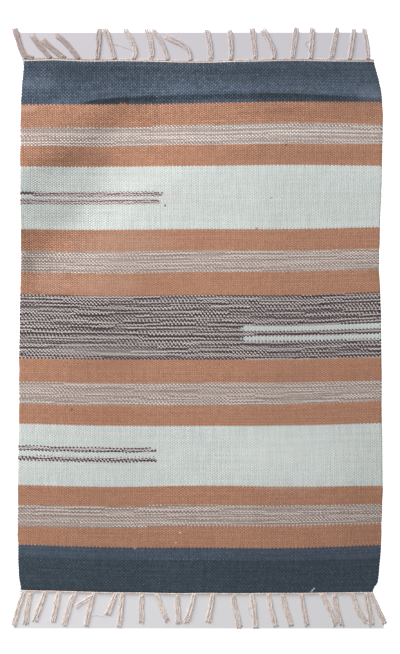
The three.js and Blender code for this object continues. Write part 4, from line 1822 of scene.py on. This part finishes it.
@dataclass(frozen=True)
class CordLook:
    """How the cords of a strand lie. Lengths are in millimetres, the rest are shares."""

    each: int = 3
    sides: int = 8
    rings: int = 40
    lobed: float = 0.12
    lay: float = 5.2
    radius_of_two: float = 1.6
    radius_of_three: float = 1.25
    circle: float = 0.52
    winds: Span = (0.9, 1.7)
    start: float = -1.5
    root_long: float = 12.0
    root_squeeze: float = 0.72
    root_lift: float = 0.5
    wander: float = 0.35
    wander_turns: Span = (0.8, 2.2)
    fan: float = 0.7
    loosening: float = 0.35
    piled: float = 0.45
    unpiling: float = 0.55
    tip_sink: float = 0.45
    sinks_from: float = 0.75
    tip_thinning: float = 0.2
    thins_from: float = 0.9
    reach: Span = (0.95, 1.0)


@dataclass(frozen=True)
class FrayLook:
    """How a cord's end frays. Lengths are in millimetres, the rest are shares and radians."""

    each: int = 3
    sides: int = 4
    rings: int = 5
    turn: float = 0.32
    length: Span = (2.0, 4.5)
    bend: float = 1.2
    tucked: float = 0.8
    thickness: Span = (0.5, 0.14)
    droop: float = 1.5
    lift: float = 0.3
    clear: float = 0.05


@dataclass(frozen=True)
class KnotLook:
    """How the knot at a tassel's root is wound, in millimetres."""

    turns: float = 1.3
    start_turn: float = 0.6
    rings: int = 26
    sides: int = 8
    radius: float = 0.85
    lobed: float = 0.15
    out: float = 2.6
    long: float = 2.6
    out_wander: float = 0.3
    half_wide: float = 2.8
    middle: float = 1.9
    half_high: float = 1.2
    lowest: float = 0.8


@dataclass(frozen=True)
class StrayLook:
    """How a stray yarn lies, in millimetres, and how finely it is made."""

    rings: int = 24
    sides: int = 6
    lobed: float = 0.2
    turns_per_mm: float = 0.2
    clear: float = 0.1
    ends_rise: float = 1.2


@dataclass
class Fringe:
    """One end's fringe: the twined heading, and the knotted tassels that hang from it."""

    name: str
    replaces: str
    shape: ClothShape
    outwards: int
    rows: Sequence[TasselRow]
    loose: Sequence[LooseRow]
    seed: int
    heading_gap: float = 1.0
    heading_lift: float = 0.0
    root_out: float = 2.4
    tassel_wide: float = 8.5
    strand_gap: float = 0.1
    longest: float = 60.0
    twine: HeadingLook = HeadingLook()
    yarn: CordLook = CordLook()
    fray: FrayLook = FrayLook()
    tie: KnotLook = KnotLook()
    stray_yarn: StrayLook = StrayLook()
    edge: SmoothColumn = field(init=False)
    random: np.random.Generator = field(init=False)
    skein: Skein = field(init=False)
    strip: int = field(init=False)

    def __post_init__(self) -> None:
        """Takes the edge that the fringe follows."""
        self.edge = self.shape.far if self.outwards > 0 else self.shape.near
        self.random = np.random.default_rng(self.seed)
        self.skein = Skein()
        self.strip = 0

    def next_strip(self) -> int:
        """The next free strip of the flat bake map."""
        self.strip += 1
        return self.strip

    def heading(self) -> None:
        """Lays the heading: a two-strand twine along the last picks, in parts end to end."""
        look = self.twine
        level = self.shape.level_marks[-1 if self.outwards > 0 else 0]
        left = float(self.shape.left(level)) - look.past_selvedge
        right = float(self.shape.right(level)) + look.past_selvedge
        stops = [left + (right - left) * part / look.parts for part in range(look.parts + 1)]
        out = self.heading_gap + look.radius - look.sunk
        for part, (start, stop) in enumerate(zip(stops, stops[1:])):
            x = np.linspace(start, stop, look.rings)
            y = self.edge(x) + self.outwards * out
            z = look.radius + self.heading_lift + look.wave * np.sin(x * look.waves_per_mm)
            course = np.stack([x, y, z], 1)
            radii, tip = np.full(look.rings, look.radius), np.full(look.rings, 0.5)
            self.skein.add(TubeRow(course, radii, look.sides, look.lobed, 1 / look.lay,
                                   look.part_number * part, self.next_strip(), tip))

    def cord(self, line: TasselLine, reach: float, offside: float, phase: float, radius: float,
             winds: float) -> None:
        """Lays one cord of a strand, winding loosely round the strand's middle.

        Args:
            line: the tassel's line.
            reach: where the cord ends, as a share of the line.
            offside: the strand's place beside the line.
            phase: where in the strand the cord starts.
            radius: half its thickness.
            winds: how often it winds round on its way.
        """
        look = self.yarn
        share = np.linspace(0, 1, look.rings)
        distance = look.start + (reach * line.length - look.start) * share
        place, side = line.at(distance)

        # Sideways: squeezed together by the knot, then free to wander, fan out and loosen
        settle = np.clip(distance / look.root_long, 0, 1)
        away = offside * (look.root_squeeze + (1 - look.root_squeeze) * settle)
        swing = self.random.normal(0, look.wander)
        wander = swing * np.sin(share * math.pi * self.random.uniform(*look.wander_turns))
        fan = self.random.normal(0, look.fan) * share**3
        circle = radius * look.circle
        wind = phase + share * math.pi * 2 * winds
        loose = 1 + look.loosening * share**2
        sideways = away + wander + fan + circle * loose * np.cos(wind)

        # Upwards: piled on its fellows, then sinking to the floor towards its end
        lift = look.piled * circle * (1 - look.unpiling * share**3) * (1 + np.sin(wind))
        end = np.clip((share - look.sinks_from) / (1 - look.sinks_from), 0, 1)
        height = (radius + lift) * (1 - look.tip_sink * end**2) + look.root_lift * (1 - settle)
        course = np.column_stack([place + side * sideways[:, None], height])

        tip = np.clip((share - look.thins_from) / (1 - look.thins_from), 0, 1)
        number = float(self.random.uniform())
        self.skein.add(TubeRow(course, radius * (1 - look.tip_thinning * tip), look.sides, look.lobed,
                               1 / look.lay, number, self.next_strip(), share))
        self.frays(course, radius, number)

    def frays(self, course: Array, radius: float, number: float) -> None:
        """Frays a cord's end into a few fibres that fan out on the floor.

        Args:
            course: the cord's places.
            radius: half its thickness.
            number: the cord's own number, which its fibres share.
        """
        look = self.fray
        end, run = course[-1], course[-1] - course[-4]
        run = run / np.linalg.norm(run)
        share = np.linspace(0, 1, look.rings)[:, None]
        for _ in range(look.each):
            turn = self.random.normal(0, look.turn)
            length = self.random.uniform(*look.length)
            ahead = np.array([run[0] * math.cos(turn) - run[1] * math.sin(turn),
                              run[0] * math.sin(turn) + run[1] * math.cos(turn), 0.0])
            bend = np.array([-ahead[1], ahead[0], 0.0]) * self.random.normal(0, look.bend)
            fibre = end - run * look.tucked + ahead * share * length + bend * share**2
            fall = (1 - share[:, 0]) ** look.droop
            fibre[:, 2] = end[2] * fall + look.lift * share[:, 0] + look.clear
            radii = radius * np.linspace(*look.thickness, look.rings)
            tip = np.linspace(self.yarn.thins_from, 1, look.rings)
            self.skein.add(TubeRow(fibre, radii, look.sides, 0.0, 0.0, number, 0, tip))

    def knot(self, line: TasselLine) -> None:
        """Ties the knot at a tassel's root: a cord wound a little more than once round the strands.

        Args:
            line: the tassel's line.
        """
        look = self.tie
        share = np.linspace(0, 1, look.rings)
        wind = self.random.uniform(0, look.start_turn) + share * look.turns * 2 * math.pi
        distance = look.out + look.long * share + self.random.normal(0, look.out_wander)
        place, side = line.at(distance)
        sideways = look.half_wide * np.cos(wind)
        height = np.maximum(look.middle + look.half_high * np.sin(wind), look.lowest)
        course = np.column_stack([place + side * sideways[:, None], height])
        radii, tip = np.full(look.rings, look.radius), np.full(look.rings, 0.5)
        self.skein.add(TubeRow(course, radii, look.sides, look.lobed, 1 / self.yarn.lay,
                               float(self.random.uniform()), self.next_strip(), tip))

    def tassel(self, row: TasselRow) -> None:
        """Lays one tassel: its cords in strands, and its knot.

        Args:
            row: where the tassel lies.
        """
        look = self.yarn
        root_y = float(self.edge(row.root)) + self.outwards * (self.heading_gap + self.root_out)
        line = TasselLine(row, root_y, self.outwards)
        wide = (self.tassel_wide - self.strand_gap * (row.strands - 1)) / row.strands
        radius = look.radius_of_two if row.strands == 2 else look.radius_of_three
        for number in range(row.strands):
            offside = (number - (row.strands - 1) / 2) * (wide + self.strand_gap)
            phase = self.random.uniform(0, 2 * math.pi)
            winds = self.random.uniform(*look.winds)
            strand_reach = self.random.uniform(*look.reach) * min(1.0, self.longest / row.tip_out)
            for cord in range(look.each):
                reach = strand_reach * self.random.uniform(*look.reach)
                turn = phase + cord * 2 * math.pi / look.each
                self.cord(line, reach, offside, turn, radius, winds)
        self.knot(line)

    def stray(self, row: LooseRow) -> None:
        """Lays one stray yarn on the floor, its ends lifted a little.

        Args:
            row: where it lies.
        """
        look = self.stray_yarn
        share = np.linspace(0, 1, look.rings)[:, None]
        start, middle, end = (np.array(place) for place in (row.start, row.middle, row.end))
        control = 2 * middle - (start + end) / 2
        flat = start * (1 - share) ** 2 + 2 * control * share * (1 - share) + end * share**2
        raised = np.abs(np.cos(share[:, 0] * math.pi)) ** 3
        height = row.radius + look.clear + look.ends_rise * raised
        self.skein.add(TubeRow(np.column_stack([flat, height]), np.full(look.rings, row.radius),
                               look.sides, look.lobed, look.turns_per_mm, float(self.random.uniform()),
                               self.next_strip(), share[:, 0]))

    def build(self, finish: Material) -> Object:
        """Makes the fringe's mesh and hangs it on the frame.

        Args:
            finish: the yarns' finish.
        Returns:
            The fringe.
        """
        self.heading()
        for row in self.rows:
            self.tassel(row)
        for row in self.loose:
            self.stray(row)
        made = self.skein.build(self.name, self.shape, finish)
        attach(made, "root")
        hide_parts(self.replaces)
        return made


class LightRow(NamedTuple):
    """A soft square light aimed at the rug's middle: its place and size in metres, watts and colour."""

    name: str
    place: tuple[float, float, float]
    size: float
    watts: float
    colour: tuple[float, float, float]


LIGHTS = (
    LightRow("key", (-1.3, 1.8, 1.35), 1.6, 112, (1.0, 0.99, 0.98)),
    LightRow("fill", (1.6, 0.6, 2.0), 1.6, 2, (0.98, 0.98, 1.0)),
)


@dataclass
class Studio:
    """A pale floor, soft light from the far left, and a camera straight above the rug."""

    lens: float = 85.0
    sensor: float = 36.0
    centre: Span = (1.1, -0.2)
    floor_size: float = 8.0
    room_colour: tuple[float, float, float, float] = (0.97, 0.97, 1.0, 1.0)
    room_light: float = 0.34

    def floor(self) -> None:
        """Lays the floor."""
        half = self.floor_size / 2
        corners = [(-half, -half, 0), (half, -half, 0), (half, half, 0), (-half, half, 0)]
        mesh = bpy.data.meshes.new("studio_floor")
        mesh.from_pydata(corners, [], [(0, 1, 2, 3)])
        mesh.materials.append(PaleFloor().build())
        made = bpy.data.objects.new("studio_floor", mesh)
        bpy.context.scene.collection.objects.link(made)

    @staticmethod
    def hang(light: LightRow) -> None:
        """Hangs one light.

        Args:
            light: what kind it is, and where it hangs.
        """
        data = bpy.data.lights.new(light.name, "AREA")
        data.shape = "SQUARE"
        data.size = light.size
        data.energy = light.watts
        data.color = light.colour
        made = bpy.data.objects.new(light.name, data)
        made.location = light.place
        made.rotation_euler = (-Vector(light.place)).to_track_quat("-Z", "Y").to_euler()
        bpy.context.scene.collection.objects.link(made)

    def room(self) -> None:
        """Sets the room's own light."""
        world = bpy.data.worlds.new("room")
        world.use_nodes = True
        background = world.node_tree.nodes["Background"]
        background.inputs["Color"].default_value = self.room_colour
        background.inputs["Strength"].default_value = self.room_light
        bpy.context.scene.world = world

    def camera(self) -> None:
        """Sets the camera straight above, with the picture's long side along the rug."""
        tall = PICTURE_HIGH * MM_PER_PIXEL * MM
        data = bpy.data.cameras.new("camera")
        data.lens = self.lens
        data.sensor_width = self.sensor
        made = bpy.data.objects.new("camera", data)
        made.location = (self.centre[0] * MM, self.centre[1] * MM, tall * self.lens / self.sensor)
        made.rotation_euler = (0, 0, 0)
        bpy.context.scene.collection.objects.link(made)
        bpy.context.scene.camera = made
        bpy.context.scene.view_settings.view_transform = "Standard"

    def build(self) -> None:
        """Sets up the whole studio."""
        self.floor()
        for light in LIGHTS:
            self.hang(light)
        self.room()
        self.camera()


def main() -> None:
    """Builds the rug around the frame and sets the studio."""
    logging.basicConfig(level=logging.INFO, format="%(name)s: %(message)s")
    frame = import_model()
    LOG.info("frame: %s", ", ".join(sorted(frame["nodes"])))

    shape = ClothShape()
    groups = WeaveGroups()
    weave = StripedWeave().build(groups)
    cotton = CreamCotton().build(groups)

    cloth_maker = WovenField(shape)
    cloth = cloth_maker.build(weave)
    LOG.info("cloth: %d faces", len(cloth.data.polygons))
    far = Fringe("far_tassels", "far_fringe", shape, 1, FAR_TASSELS, FAR_LOOSE, FAR_SEED,
                 longest=52.0).build(cotton)
    LOG.info("far fringe: %d faces", len(far.data.polygons))
    near = Fringe("near_tassels", "near_fringe", shape, -1, NEAR_TASSELS, NEAR_LOOSE, NEAR_SEED,
                  heading_gap=-0.9, heading_lift=0.6).build(cotton)
    LOG.info("near fringe: %d faces", len(near.data.polygons))

    Studio().build()


if __name__ == "__main__":
    main()
